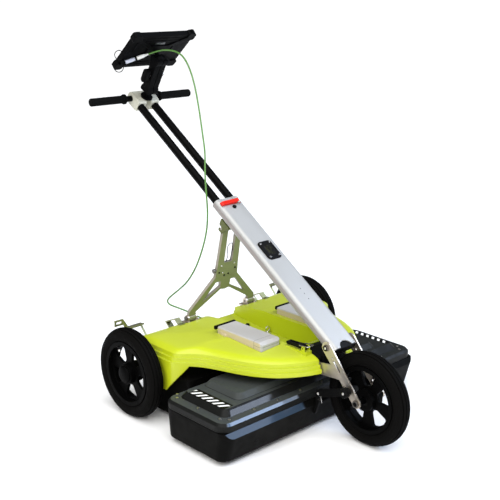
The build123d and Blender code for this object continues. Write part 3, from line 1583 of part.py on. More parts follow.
# Arm of the ball mount: two halves clamped on both balls by a bolt with a winged knob
with BuildPart() as socket_arm:
    with BuildSketch(arm_side(arm_split)):
        with Locations((0, 0), (arm_len, 0)):
            Circle(arm_half)
        with Locations((arm_len / 2, 0)):
            Rectangle(arm_len, 2 * arm_waist)
            Rectangle(arm_len + 2 * arm_end, 4 * arm_half, mode=Mode.INTERSECT)
            Circle(clamp_bolt_r + seat_gap, mode=Mode.SUBTRACT)
    extrude(amount=arm_half - arm_split)
    mirror(about=Plane.YZ)
    with Locations(low_ball, high_ball):
        Sphere(ball_r + ball_gap, mode=Mode.SUBTRACT)
    with BuildSketch(arm_side(-stem_r - arm_mouth)):
        with Locations((arm_len - arm_mouth_in, 0)):
            Rectangle(4 * stem_r, 2 * arm_half, align=(Align.MIN, Align.MAX))
    extrude(amount=2 * (stem_r + arm_mouth), mode=Mode.SUBTRACT)
socket_arm.part.label = "socket_arm"
export_step(socket_arm.part, "parts/socket_arm.step")

with BuildPart() as arm_bolt:
    with BuildSketch(arm_side(-knob_in - clamp_knob_t / 2)):
        with Locations((arm_len / 2, 0)):
            Circle(clamp_bolt_r)
    extrude(amount=knob_in + clamp_knob_t / 2 + bolt_end)
    with BuildSketch(arm_side(arm_half + seat_gap)):
        with Locations((arm_len / 2, 0)):
            RegularPolygon(2 * clamp_bolt_r, 6)
    extrude(amount=bolt_end - arm_half - seat_gap)
    with BuildSketch(arm_side(-knob_in + slack)):
        with Locations((arm_len / 2, 0)):
            Circle(2 * clamp_bolt_r)
    extrude(amount=knob_in - slack - arm_half - seat_gap)
arm_bolt.part.label = "arm_bolt"
export_step(arm_bolt.part, "parts/arm_bolt.step")

with BuildPart() as arm_knob:
    with BuildSketch(arm_side(-knob_in - clamp_knob_t)):
        with Locations((arm_len / 2, 0)):
            SlotOverall(clamp_knob_len, clamp_knob_w)
    extrude(amount=clamp_knob_t)
    fillet(arm_knob.faces().sort_by(Axis.X)[0].edges(), clamp_knob_edge)
    with BuildSketch(arm_side(-knob_in - clamp_knob_t / 2)):
        with Locations((arm_len / 2, 0)):
            Circle(clamp_bolt_r + running)
    extrude(amount=clamp_knob_t, mode=Mode.SUBTRACT)
arm_knob.part.label = "arm_knob"
export_step(arm_knob.part, "parts/arm_knob.step")

# Tablet: case, screen, key, and a cradle with a ball and four corner clips
plug_w = -tablet_t / 2 - plug_drop
plug_start = tablet_face(plug_w).from_local_coords(Vector(*plug_from, 0))
plug_stop = tablet_face(plug_w).from_local_coords(Vector(*plug_to, 0))
plug_dir = (plug_stop - plug_start).normalized()
plug_full_len = (plug_stop - plug_start).length
plug_turn = degrees(atan2(plug_to[1] - plug_from[1], plug_to[0] - plug_from[0]))
with BuildPart() as tablet_case:
    with BuildSketch(tablet_face(-tablet_t / 2)):
        RectangleRounded(tablet_w, tablet_d, tablet_corner)
    extrude(amount=tablet_t)
    straight_edges = tablet_case.edges().filter_by(GeomType.LINE)
    fillet(straight_edges.group_by(Axis(tablet_mid, tablet_up))[-1], tablet_edge)
    with BuildSketch(tablet_face(tablet_t / 2 - screen_t)):
        Rectangle(screen_w, screen_d)
    extrude(amount=2 * screen_t, mode=Mode.SUBTRACT)
    with BuildSketch(tablet_face(tablet_t / 2 - key_deep)):
        with Locations((key_u, 0)):
            RectangleRounded(key_w, key_len, key_corner)
    extrude(amount=2 * key_deep, mode=Mode.SUBTRACT)
    with BuildSketch(Plane(plug_start, z_dir=-plug_dir)):
        Circle(plug_r + port_rim)
    extrude(amount=port_len)
    with BuildSketch(tablet_face(plug_w)):
        with Locations(Location((*plug_from, 0), (0, 0, plug_turn))):
            Rectangle(port_len, 2 * plug_r, align=(Align.MAX, Align.CENTER))
    extrude(amount=plug_drop + port_root)
tablet_case.part.label = "tablet_case"
export_step(tablet_case.part, "parts/tablet_case.step")

with BuildPart() as tablet_screen:
    with BuildSketch(tablet_face(tablet_t / 2 - screen_t)):
        Rectangle(screen_w - 2 * seat_gap, screen_d - 2 * seat_gap)
    extrude(amount=screen_t)
tablet_screen.part.label = "tablet_screen"
export_step(tablet_screen.part, "parts/tablet_screen.step")

with BuildPart() as power_key:
    with BuildSketch(tablet_face(tablet_t / 2 - key_deep + key_proud)):
        with Locations((key_u, 0)):
            RectangleRounded(key_w - 2 * seat_gap, key_len - 2 * seat_gap, key_corner - seat_gap)
    extrude(amount=key_deep)
power_key.part.label = "power_key"
export_step(power_key.part, "parts/power_key.step")

with BuildPart() as tablet_cradle:
    back = -tablet_t / 2 - seat_gap
    with BuildSketch(tablet_face(back - cradle_t)):
        RectangleRounded(cradle_w, cradle_d, cradle_corner)
        rib_turn = degrees(atan2(tablet_d, tablet_w))
        for turn in (-rib_turn, rib_turn):
            with Locations(Location((0, 0, 0), (0, 0, turn))):
                Rectangle(tablet_w + rib_over, rib_w)
    extrude(amount=cradle_t)
    with BuildSketch(tablet_face(back - cradle_t)):
        corner_x = tablet_w / 2 + clip_wall - clip_size / 2
        corner_y = tablet_d / 2 + clip_wall - clip_size / 2
        with GridLocations(2 * corner_x, 2 * corner_y, 2, 2):
            RectangleRounded(clip_size, clip_size, clip_corner)
    extrude(amount=cradle_t + tablet_t - clip_low)
    with BuildSketch(tablet_face(back)):
        RectangleRounded(tablet_w + 2 * seat_gap, tablet_d + 2 * seat_gap, tablet_corner)
    extrude(amount=2 * tablet_t, mode=Mode.SUBTRACT)
    with BuildSketch(tablet_face(back - cradle_t)):
        Circle(stem_r)
    extrude(amount=-ball_drop + cradle_t + seat_gap)
    with Locations(high_ball):
        Sphere(ball_r)
tablet_cradle.part.label = "tablet_cradle"
export_step(tablet_cradle.part, "parts/tablet_cradle.step")

with BuildPart() as cable_plug:
    with BuildSketch(Plane(plug_start, z_dir=plug_dir)):
        Circle(plug_r)
    extrude(amount=body_len)
    with BuildSketch(Plane(plug_start + plug_dir * body_len, z_dir=plug_dir)):
        Circle(boot_r)
    extrude(amount=plug_full_len - body_len)
cable_plug.part.label = "cable_plug"
export_step(cable_plug.part, "parts/cable_plug.step")


# Stay: two plates lapped and bolted at the hub, with a pull pin in the lap
def leg(turn):
    """Half outline of the legs and the hub on one side of the middle."""
    with BuildLine() as outline:
        Polyline(
            (0, lap_high),
            (turn * (stay_half_hub - stay_taper), lap_high),
            (turn * stay_half_hub, lap_low),
            (turn * (foot_x + foot_w / 2), leg_knee),
            (turn * (foot_x + foot_w / 2), 0),
            (turn * (foot_x - foot_w / 2), 0),
            *((turn * x, v) for v, x in crotch),
            close=True,
        )
    make_face(outline.edges())
    with BuildLine() as opening:
        Polyline(*((turn * x, v) for v, x in window), close=True)
    make_face(opening.edges(), mode=Mode.SUBTRACT)


with BuildPart() as stay_lower:
    with BuildSketch(stay_face(-stay_t / 2)):
        leg(1)
        leg(-1)
    extrude(amount=stay_t)
    with BuildSketch(stay_face(-seat_gap / 2)):
        with Locations((0, lap_low)):
            Rectangle(4 * stay_half_hub, 2 * stay_half_hub, align=(Align.CENTER, Align.MIN))
    extrude(amount=stay_t, mode=Mode.SUBTRACT)
    with BuildSketch(across(foot_x - foot_w / 2), across(-foot_x - foot_w / 2)):
        with Locations((foot_y, foot_z)):
            Circle(foot_r)
    extrude(amount=foot_w)
    with BuildSketch(across(-2 * foot_x)):
        with Locations((foot_y, foot_z)):
            Circle(foot_pin_r + running)
    extrude(amount=4 * foot_x, mode=Mode.SUBTRACT)
    with BuildSketch(stay_side(-lock_in)):
        with Locations((lock_v, 0)):
            Circle(lock_r + 2 * running)
    extrude(amount=stay_half_hub, mode=Mode.SUBTRACT)
stay_lower.part.label = "stay_lower"
export_step(stay_lower.part, "parts/stay_lower.step")

with BuildPart() as stay_upper:
    with BuildSketch(stay_face(-stay_t / 2)):
        with BuildLine():
            Polyline(
                (-stay_half_hub, lap_low + slack),
                (stay_half_hub, lap_low + slack),
                (stay_half_hub - stay_taper, lap_high),
                (stay_half_top, stay_top),
                (-stay_half_top, stay_top),
                (stay_taper - stay_half_hub, lap_high),
                close=True,
            )
        make_face()
        with Locations((0, lap_high + stay_taper)):
            slot_len = stay_top - slot_margin - lap_high - stay_taper
            Rectangle(2 * slot_half, slot_len, align=(Align.CENTER, Align.MIN), mode=Mode.SUBTRACT)
        fillet(vertices().group_by(Axis.X)[3:-3], stay_corner)
    extrude(amount=stay_t)
    with BuildSketch(stay_face(seat_gap / 2)):
        with Locations((0, lap_high + slack)):
            Rectangle(4 * stay_half_hub, 2 * stay_half_hub, align=(Align.CENTER, Align.MAX))
    extrude(amount=-stay_t, mode=Mode.SUBTRACT)
    with BuildSketch(stay_side(stub_end)):
        with Locations((stub_v, 0)):
            Circle(stub_r)
    extrude(amount=2 * stub_end)
    with BuildSketch(stay_side(-lock_in)):
        with Locations((lock_v, 0)):
            Circle(lock_r + 2 * running)
    extrude(amount=stay_half_hub, mode=Mode.SUBTRACT)
stay_upper.part.label = "stay_upper"
export_step(stay_upper.part, "parts/stay_upper.step")

lock_head_x = -stay_half_hub - lock_head_gap
with BuildPart() as lock_pin:
    with BuildSketch(stay_side(-lock_in - lock_bottom)):
        with Locations((lock_v, 0)):
            Circle(lock_r)
    extrude(amount=-lock_head_x - lock_in - lock_bottom)
    with BuildSketch(stay_side(lock_head_x)):
        with Locations((lock_v, 0)):
            Circle(2 * lock_r)
    extrude(amount=lock_head_t)
lock_pin.part.label = "lock_pin"
export_step(lock_pin.part, "parts/lock_pin.step")


# Cords: straight runs joined by arcs that are as large as the runs allow
def bend_radii(points):
    """Radius of the arc at each inner point of a route."""
    radii = []
    for before, here, after in zip(points, points[1:], points[2:]):
        run_in = Vector(*here) - Vector(*before)
        run_out = Vector(*after) - Vector(*here)
        half_turn = radians(run_in.get_angle(run_out)) / 2
        radii.append(0.45 * min(run_in.length, run_out.length) / tan(half_turn))
    return radii


def middle(a, b):
    """Point halfway between two points of a route."""
    return tuple((p + q) / 2 for p, q in zip(a, b))


plug_next = plug_stop + plug_dir * cable_lead
cable_route = [
    (plug_stop.X, plug_stop.Y - datum_y, plug_stop.Z),
    (plug_next.X, plug_next.Y - datum_y, plug_next.Z),
    (34, 334, 1199),
    (48, 288, 1188),
    (32, 232, 1160),
    (12, 180, 1118),
    (-4, 139, 1060),
    (-16, 108, 992),
    (-29, 79, 925),
    (-41, 51, 860),
    (-52, 42, 793),
    (-60, 27, 727),
    (-64, 14, 655),
    (-66, 19, 583),
    (-70, 42, 508),
    (-76, 72, 437),
    (-81, 114, 377),
    (-85, 158, 338),
    (-88, 192, 311),
    (-90, 214, 292),
    (-90, 226, 277),
    (-88, 218, 266),
    (-85, 197, 263),
    (-80, 165, 261),
    (-73, 118, 257),
    cable_last,
    (cable_end_x, cable_end_y, cable_end_z),
]
cable_radii = bend_radii(cable_route)
cable_stop = len(cable_route) - 1
cable_spans = {
    "cable_end": (0, 2),
    "cable_upper": (2, 5),
    "cable_middle": (5, 10),
    "cable_lower": (10, cable_stop),
}
for name, (first, last) in cable_spans.items():
    route = list(cable_route[first + 1 : last + 1])
    radii = cable_radii[first : last]
    if first == 0:
        route.insert(0, cable_route[0])
    else:
        route.insert(0, middle(cable_route[first], cable_route[first + 1]))
    if last == cable_stop:
        radii = cable_radii[first:]
    else:
        route.append(middle(cable_route[last], cable_route[last + 1]))
    points = [(x, datum_y + y, z) for x, y, z in route]
    with BuildPart() as cable:
        with BuildLine() as path:
            FilletPolyline(*points, radius=radii)
        with BuildSketch(Plane(path.wire() @ 0, z_dir=path.wire() % 0)):
            Circle(cable_r)
        sweep()
    cable.part.label = name
    export_step(cable.part, f"parts/{name}.step")

# Lanyard of the lock pin: a springy wire loop in the slot of the stay
lanyard_route = [
    (-7, 195),
    (1, 214),
    (-6, 236),
    (-9, 254),
    (3, 267),
    (15, 262),
    (18, 242),
    (15, 216),
    (12, 195),
]
lanyard_face = stay_face(lanyard_r + seat_gap)
lanyard_points = [tuple(lanyard_face.from_local_coords(Vector(x, v, 0))) for x, v in lanyard_route]
with BuildPart() as lanyard:
    with BuildLine() as path:
        FilletPolyline(*lanyard_points, radius=bend_radii(lanyard_points))
    with BuildSketch(Plane(path.wire() @ 0, z_dir=path.wire() % 0)):
        Circle(lanyard_r)
    sweep()
lanyard.part.label = "lanyard"
export_step(lanyard.part, "parts/lanyard.step")
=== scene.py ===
"""Looks of the radar cart: materials, cords, fittings, light and camera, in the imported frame.

The cart rolls towards -Y and its left side is +X. Places are given in millimetres from the rear
axle and the floor, as the cart is measured, and at() turns them into metres in the frame.
"""

from math import cos, pi, radians, sin, tau

import bmesh
import bpy
from mathutils import Matrix, Vector


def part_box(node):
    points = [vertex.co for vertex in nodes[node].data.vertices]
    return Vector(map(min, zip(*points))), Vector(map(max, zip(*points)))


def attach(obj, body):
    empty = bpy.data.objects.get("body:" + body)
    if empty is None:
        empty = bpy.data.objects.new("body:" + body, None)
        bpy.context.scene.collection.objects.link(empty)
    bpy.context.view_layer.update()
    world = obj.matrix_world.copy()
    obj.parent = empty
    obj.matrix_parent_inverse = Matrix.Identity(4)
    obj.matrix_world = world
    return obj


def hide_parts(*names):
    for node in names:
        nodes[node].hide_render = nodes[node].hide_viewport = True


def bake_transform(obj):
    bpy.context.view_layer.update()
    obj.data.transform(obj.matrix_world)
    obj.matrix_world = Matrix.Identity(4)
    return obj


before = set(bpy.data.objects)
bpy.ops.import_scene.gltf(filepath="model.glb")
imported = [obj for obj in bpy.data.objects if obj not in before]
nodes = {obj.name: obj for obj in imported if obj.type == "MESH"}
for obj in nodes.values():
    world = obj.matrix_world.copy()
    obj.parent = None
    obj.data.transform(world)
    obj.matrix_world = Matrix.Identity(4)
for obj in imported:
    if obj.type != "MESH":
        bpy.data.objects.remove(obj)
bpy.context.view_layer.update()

axle_low, axle_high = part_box("rear_axle")
axle_y = (axle_low.y + axle_high.y) / 2
MM = 0.001


def at(x, y, z):
    """Point in the frame, in metres, from millimetres measured at the rear axle and the floor."""
    return Vector((x * MM, axle_y + y * MM, z * MM))


# Camera, as the photograph was taken
FOCAL_PX = 939.12
FRAME_PX = 500
CAMERA_AT = at(-2174.47, -2435.86, 1446.2)
CAMERA_AZIMUTH = radians(-43.39)
CAMERA_ELEVATION = radians(16.04)
CAMERA_ROLL = radians(0.09)

# Directions of the tilted parts
MAST_ANGLE = radians(34.34)
MAST_DIR = Vector((0, cos(MAST_ANGLE), sin(MAST_ANGLE)))
MAST_UP = Vector((0, -sin(MAST_ANGLE), cos(MAST_ANGLE)))
PIVOT_YZ = (-559.4, 309.5)
PIVOT = at(0, *PIVOT_YZ)
STAY_LEAN = radians(11.05)
STAY_UP = Vector((0, -sin(STAY_LEAN), cos(STAY_LEAN)))
STAY_FRONT = Vector((0, -cos(STAY_LEAN), -sin(STAY_LEAN)))
STAY_FOOT = at(0, 22, 279)
TABLET_TILT = radians(40.35)
TABLET_UP = Vector((0, sin(TABLET_TILT), cos(TABLET_TILT)))
TABLET_BACK = Vector((0, cos(TABLET_TILT), -sin(TABLET_TILT)))
TABLET_MID = at(0, 383.6, 1201.3)
ACROSS = Vector((1, 0, 0))
UP = Vector((0, 0, 1))


def on_mast(x, d, n):
    """Point at d along the mast from its pivot and n over its axis."""
    return PIVOT + ACROSS * (x * MM) + MAST_DIR * (d * MM) + MAST_UP * (n * MM)


def on_stay(x, v, w):
    """Point at v up the stay from its feet and w in front of its middle."""
    return STAY_FOOT + ACROSS * (x * MM) + STAY_UP * (v * MM) + STAY_FRONT * (w * MM)


def on_tablet(u, v, w):
    """Point at u across the tablet, v towards the operator and w over its middle."""
    return TABLET_MID + ACROSS * (u * MM) + TABLET_BACK * (v * MM) + TABLET_UP * (w * MM)


def srgb(red, green, blue):
    """Linear colour of an sRGB triple from 0 to 255."""

    def linear(value):
        """Linear value of one channel."""
        value /= 255
        return value / 12.92 if value <= 0.04045 else ((value + 0.055) / 1.055) ** 2.4

    return (linear(red), linear(green), linear(blue), 1.0)


def tint(colour, gain):
    """Colour made lighter or darker by a gain."""
    return (*(min(1.0, channel * gain) for channel in colour[:3]), 1.0)


# Shader maths: cosines between which a surface starts to face a way, turns that make an edge, and
# the span that most of a noise lies in
FACING_COSINES = (0.93, 0.985)
EDGE_TURNS = (0.02, 0.12)
NOISE_SPAN = (0.3, 0.7)


class Value:
    """A shader socket: arithmetic on it adds math nodes to its material."""

    def __init__(self, shader, socket):
        self.shader = shader
        self.socket = socket

    def __add__(self, other):
        return self.shader.math("ADD", self, other)

    def __sub__(self, other):
        return self.shader.math("SUBTRACT", self, other)

    def __rsub__(self, other):
        return self.shader.math("SUBTRACT", other, self)

    def __mul__(self, other):
        return self.shader.math("MULTIPLY", self, other)

    def __truediv__(self, other):
        return self.shader.math("DIVIDE", self, other)

    def __pow__(self, other):
        return self.shader.math("POWER", self, other)

    def __gt__(self, other):
        return self.shader.math("GREATER_THAN", self, other)

    def __lt__(self, other):
        return self.shader.math("LESS_THAN", self, other)

    def __abs__(self):
        return self.shader.math("ABSOLUTE", self, 0.0)


class Shader:
    """A material in the making: its methods add nodes and feed the inputs of its surface."""

    def __init__(self, name, rough=0.5, metal=0.0, **constants):
        self.material = bpy.data.materials.new(name)
        self.material.use_nodes = True
        self.tree = self.material.node_tree
        self.surface = self.tree.nodes["Principled BSDF"]
        self.set("Roughness", rough)
        self.set("Metallic", metal)
        for key, value in constants.items():
            self.set(key.replace("_", " "), value)
        self.place = self.node("ShaderNodeTexCoord", "Object")

    def node(self, kind, output=0, settings=None, inputs=None):
        """Adds a node of a kind with its settings and inputs, and gives one of its outputs."""
        made = self.tree.nodes.new(kind)
        for key, value in (settings or {}).items():
            setattr(made, key, value)
        for key, value in (inputs or {}).items():
            if isinstance(value, Value):
                self.tree.links.new(value.socket, made.inputs[key])
            else:
                made.inputs[key].default_value = value
        return Value(self, made.outputs[output])

    def math(self, operation, first, second):
        """Result of a math operation on two values or numbers."""
        return self.node("ShaderNodeMath", 0, {"operation": operation}, {0: first, 1: second})

    def set(self, key, value):
        """Feeds an input of the surface: a number, a colour or a value."""
        if isinstance(value, Value):
            self.tree.links.new(value.socket, self.surface.inputs[key])
        else:
            self.surface.inputs[key].default_value = value

    def axes(self):
        """X, Y and Z of the place, in metres."""
        made = self.node("ShaderNodeSeparateXYZ", 0, None, {0: self.place}).socket.node
        return [Value(self, socket) for socket in made.outputs]

    def stretched(self, scale, turn=(0, 0, 0)):
        """Places turned, then stretched by a scale for each axis."""
        inputs = {0: self.place, 2: turn}
        turned = self.node("ShaderNodeMapping", 0, {"vector_type": "TEXTURE"}, inputs)
        return self.node("ShaderNodeMapping", 0, None, {0: turned, 3: scale})

    def noise(self, scale, detail=3.0, place=None):
        """Cloudy noise from 0 to 1."""
        inputs = {"Vector": place or self.place, "Scale": scale, "Detail": detail}
        return self.node("ShaderNodeTexNoise", 0, None, inputs)

    def ramp(self, value, low, high, start=0.0, end=1.0):
        """A value eased from start to end as it goes from low to high."""
        inputs = {0: value, 1: low, 2: high, 3: start, 4: end}
        return self.node("ShaderNodeMapRange", 0, {"interpolation_type": "SMOOTHSTEP"}, inputs)

    def gloss(self, pattern, low, high):
        """Roughness that goes from low to high with a noise or another pattern."""
        self.set("Roughness", self.ramp(pattern, *NOISE_SPAN, low, high))

    def mix(self, share, first, second):
        """Colour between two others."""
        return self.node("ShaderNodeMix", 2, {"data_type": "RGBA"}, {0: share, 6: first, 7: second})

    def bevel(self, radius):
        """Normal that rounds the edges of a solid."""
        return self.node("ShaderNodeBevel", 0, {"samples": 4}, {"Radius": radius})

    def relief(self, height, depth, strength, normal=None):
        """Raises the surface by a height from 0 to 1 times a depth in metres."""
        inputs = {"Height": height, "Distance": depth, "Strength": strength}
        if normal:
            inputs["Normal"] = normal
        self.set("Normal", self.node("ShaderNodeBump", 0, None, inputs))

    def alike(self, first, second):
        """Cosine of the angle between two directions."""
        inputs = {0: first, 1: second}
        return self.node("ShaderNodeVectorMath", "Value", {"operation": "DOT_PRODUCT"}, inputs)

    def facing(self, way):
        """Share from 0 to 1 of a surface that faces a way."""
        close = self.alike(self.node("ShaderNodeNewGeometry", "Normal"), way)
        return self.ramp(close, *FACING_COSINES)

    def edges(self, radius):
        """Share from 0 on a flat to 1 on a worn edge."""
        close = self.alike(self.node("ShaderNodeNewGeometry", "Normal"), self.bevel(radius))
        return self.ramp(1.0 - close, *EDGE_TURNS)


def moulded(
    name, colour, rough, grain=0.00012, grain_scale=900.0, patch=0.12, edge=0.0015, **constants
):
    """Moulded plastic: cloudy colour, uneven gloss, fine grain and rounded edges."""
    shader = Shader(name, rough, **constants)
    cloud = shader.noise(9.0, 4.0)
    shader.set("Base Color", shader.mix(cloud, tint(colour, 1 - patch), tint(colour, 1 + patch)))
    shader.gloss(shader.noise(28.0), rough * 0.85, rough * 1.15)
    shader.relief(shader.noise(grain_scale, 2.0), grain, 0.6, shader.bevel(edge))
    return shader.material


def metal(name, colour, rough, lay, turn=(0, 0, 0)):
    """Metal with drawn lines along its lay, and edges rubbed brighter."""
    edge = 0.0008
    wear_and_top_light = 1.25
    shader = Shader(name, rough, 1.0)
    lines = shader.noise(40.0, 4.0, shader.stretched(lay, turn))
    shade = shader.mix(lines, tint(colour, 0.86), tint(colour, 1.1))
    shader.set("Base Color", shader.mix(shader.edges(edge), shade, tint(colour, wear_and_top_light)))
    shader.gloss(lines, rough * 0.8, rough * 1.25)
    shader.relief(lines, 0.00008, 0.5, shader.bevel(edge))
    return shader.material


def dress(material, *names):
    """Gives CAD nodes a material."""
    for name in names:
        slots = nodes[name].data.materials
        slots.clear()
        slots.append(material)


# Colours of the materials
LIME = srgb(186, 198, 27)
# Painted reflection: the paler lime of the cover's up-facing faces
LIME_TOP_REFLECTION = srgb(183, 194, 50)
BLACK = srgb(11, 11, 11)
SOOT = srgb(6, 6, 6)
CHARCOAL = srgb(50, 53, 52)
SILVER = srgb(170, 170, 167)
OLIVE = srgb(123, 130, 82)
STEEL = srgb(176, 172, 166)
BATTERY = srgb(180, 179, 177)
# The catch's own colour, also used as painted light on the battery's sides
SAND = srgb(196, 182, 152)
CABLE = srgb(84, 130, 56)
RUBBER_DUST = srgb(15, 14, 13)
TUB_BLACK = srgb(8, 8, 7)
BARE_EDGE = srgb(158, 152, 140)
SEAM_GREY = srgb(96, 94, 90)
GRIP_DUST = srgb(18, 19, 19)
MAST_DUST = srgb(196, 198, 201)
MAST_SIDE_SHADE = srgb(152, 145, 143)

# Ridges round a tyre's flanks and rings along the grips, in metres
RIDGE_PITCH = 0.0065
FLANK_X = (0.019, 0.0225)
FLANK_R = (0.116, 0.12)
RING_PITCH = 0.0042

# Lid: black bands near its right and left end, with slanted white bars on them, in metres from
# the middle, the rear axle and the floor
BAND_X = (0.391, 0.398)
BAND_HALF = (0.021, 0.0135)
BAND_Y = (-0.453, -0.285)
BAR_X = (0.394, 0.396)
BAR_HALF = (0.0145, 0.009)
BAR_PITCH = 0.0259
BAR_SLANT = -0.658
BAR_SHARE = 0.44
BAR_FIRST = -27
BAR_WHITE = srgb(238, 238, 236)
LID_SIDE = srgb(22, 23, 22)
LID_Z = 0.1502
DECK_Z = 0.1705
DECK_HALF = 0.003
HUMP_RISE = 0.0015
SLOPE_DROP = 0.005
# Where the painted light on the lid's up-facing faces fades darker along X
TOP_LIGHT_FADE = (-0.3, 0.35)

# Painted sheen, a reflection painted into the colour of the front edges of lid and tub: the way
# each edge faces, and where it fades along X
PAINTED_SHEEN = srgb(72, 92, 116)
CHAMFER_NORMAL = Vector((0, -0.71, 0.71))
SLOPE_NORMAL = Vector((0, -0.81, 0.58))
BEVEL_NORMAL = Vector((0, -0.82, 0.57))
CHAMFER_FADE = (-0.145, -0.13)
SLOPE_FADE = (-0.24, -0.2)
BEVEL_FADE = (-0.128, -0.113)

# Seam round a battery's front end, and the ledge in front of it
SEAM_Y = -0.352
SEAM_HALF = 0.0007
LEDGE_Z = 0.292
LEDGE_HALF = 0.0006

# Cosines between which the stay's bare edges turn into painted faces, and the fork's lean
PAINT_COSINES = (0.55, 0.85)
FORK_ANGLE = radians(52)


def lime_plastic():
    """Satin lime moulding with a slight orange peel, hazier where it faces up with a painted
    reflection.
    """
    shader = Shader(
        "lime_plastic", 0.3, Specular_IOR_Level=0.4, Coat_Weight=0.25, Coat_Roughness=0.2
    )
    cloud = shader.noise(3.5, 3.0)
    plain = shader.mix(cloud, tint(LIME, 0.95), tint(LIME, 1.04))
    # Painted reflection: up-facing faces are mixed towards a paler, whiter lime
    shader.set("Base Color", shader.mix(shader.facing(UP), plain, LIME_TOP_REFLECTION))
    shader.gloss(shader.noise(22.0), 0.34, 0.42)
    shader.relief(shader.noise(420.0, 2.0), 0.00004, 0.3, shader.bevel(0.003))
    return shader.material


def tyre_rubber(name, hub):
    """Black rubber of one wheel, with ridges round its flanks."""
    shader = Shader(name, 0.75, Specular_IOR_Level=0.03)
    x, y, z = shader.axes()
    radius = ((y - hub.y) ** 2.0 + (z - hub.z) ** 2.0) ** 0.5
    dust = shader.noise(60.0, 5.0)
    shader.set("Base Color", shader.mix(dust, SOOT, RUBBER_DUST))
    shader.set("Roughness", shader.ramp(dust, 0.35, 0.7, 0.6, 0.85))
    ridges = shader.math("SINE", radius * (tau / RIDGE_PITCH), 0.0)
    flank = shader.ramp(abs(x - hub.x), *FLANK_X) * shader.ramp(radius, *FLANK_R)
    shader.relief(ridges * flank * 0.5 + shader.noise(700.0) * 0.3, 0.0009, 0.5)
    return shader.material


def lid_plastic():
    """Charcoal lid with slanted white bars on a black band near each end, shorter at the left."""
    shader = Shader("lid_plastic", 0.42, Specular_IOR_Level=0.1, Coat_Roughness=0.1)
    x, y, z = shader.axes()
    along = y - axle_y
    band = (abs(x + BAND_X[0]) < BAND_HALF[0]) + (abs(x - BAND_X[1]) < BAND_HALF[1])
    level = (z > DECK_Z - DECK_HALF) * (z < DECK_Z + DECK_HALF)
    deck = level * (along > BAND_Y[0]) * (along < BAND_Y[1])
    ends = (abs(x + BAR_X[0]) < BAR_HALF[0]) + (abs(x - BAR_X[1]) < BAR_HALF[1])
    run = (along + abs(x) * BAR_SLANT) / BAR_PITCH
    bars = ends * deck * (run > BAR_FIRST) * (shader.math("FRACT", run, 0.0) < BAR_SHARE)
    cloud = shader.noise(7.0, 4.0)
    # Painted light: up-facing faces and the hump get a lighter, cloudy charcoal than the near-black
    # sides, darker towards the far (+X) end
    wear_and_top_light = shader.mix(cloud, tint(CHARCOAL, 1.3), tint(CHARCOAL, 1.7))
    top = shader.mix(shader.ramp(x, *TOP_LIGHT_FADE), wear_and_top_light, tint(CHARCOAL, 0.45))
    hump = z > DECK_Z + HUMP_RISE
    plain = shader.mix(shader.facing(UP) + hump, LID_SIDE, top)
    printed = shader.mix(band * deck, plain, SOOT)
    shader.gloss(shader.noise(30.0), 0.34, 0.5)
    chamfer = shader.facing(CHAMFER_NORMAL) * shader.ramp(x, *CHAMFER_FADE, 1.0, 0.0) * (z < LID_Z)
    slope = shader.facing(SLOPE_NORMAL) * shader.ramp(x, *SLOPE_FADE, 1.0, 0.0)
    slope = slope * (z > LID_Z) * (z < DECK_Z - SLOPE_DROP)
    shader.set("Coat Weight", chamfer + slope * 0.7)
    # Painted sheen: the front chamfer's colour is mixed towards a blue-grey reflection
    shaded = shader.mix(chamfer, printed, PAINTED_SHEEN)
    shader.set("Base Color", shader.mix(bars, shaded, BAR_WHITE))
    shader.relief(shader.noise(1100.0, 2.0), 0.00012, 0.5, shader.bevel(0.0015))
    return shader.material


def tub_plastic():
    """Black tub that shines only along the bevel under the lid, where a blue-grey sheen is painted
    into its colour.
    """
    shader = Shader("tub_plastic", 0.5, Specular_IOR_Level=0.04, Coat_Roughness=0.12)
    x = shader.axes()[0]
    bevel = shader.facing(BEVEL_NORMAL) * shader.ramp(x, *BEVEL_FADE, 1.0, 0.0)
    plain = shader.mix(shader.noise(8.0, 4.0), tint(TUB_BLACK, 0.85), tint(TUB_BLACK, 1.2))
    # Painted sheen: the bevel's colour is mixed towards a darker blue-grey reflection
    shader.set("Base Color", shader.mix(bevel, plain, tint(PAINTED_SHEEN, 0.45)))
    shader.gloss(shader.noise(28.0), 0.44, 0.56)
    shader.set("Coat Weight", bevel * 0.35)
    shader.relief(shader.noise(900.0, 2.0), 0.00012, 0.5, shader.bevel(0.003))
    return shader.material


def olive_paint():
    """Olive paint on the stay's faces, with bare silver edges."""
    shader = Shader("olive_paint", 0.5, Specular_IOR_Level=0.35)
    front = abs(shader.alike(shader.node("ShaderNodeTexCoord", "Normal"), STAY_FRONT))
    face = shader.ramp(front, *PAINT_COSINES)
    speck = shader.noise(420.0, 4.0)
    paint = shader.mix(speck, tint(OLIVE, 0.84), tint(OLIVE, 1.16))
    shader.set("Base Color", shader.mix(face, BARE_EDGE, paint))
    shader.set("Metallic", shader.ramp(front, *PAINT_COSINES, 0.35, 0.0))
    shader.gloss(speck, 0.42, 0.6)
    shader.relief(speck, 0.0001, 0.5, shader.bevel(0.001))
    return shader.material


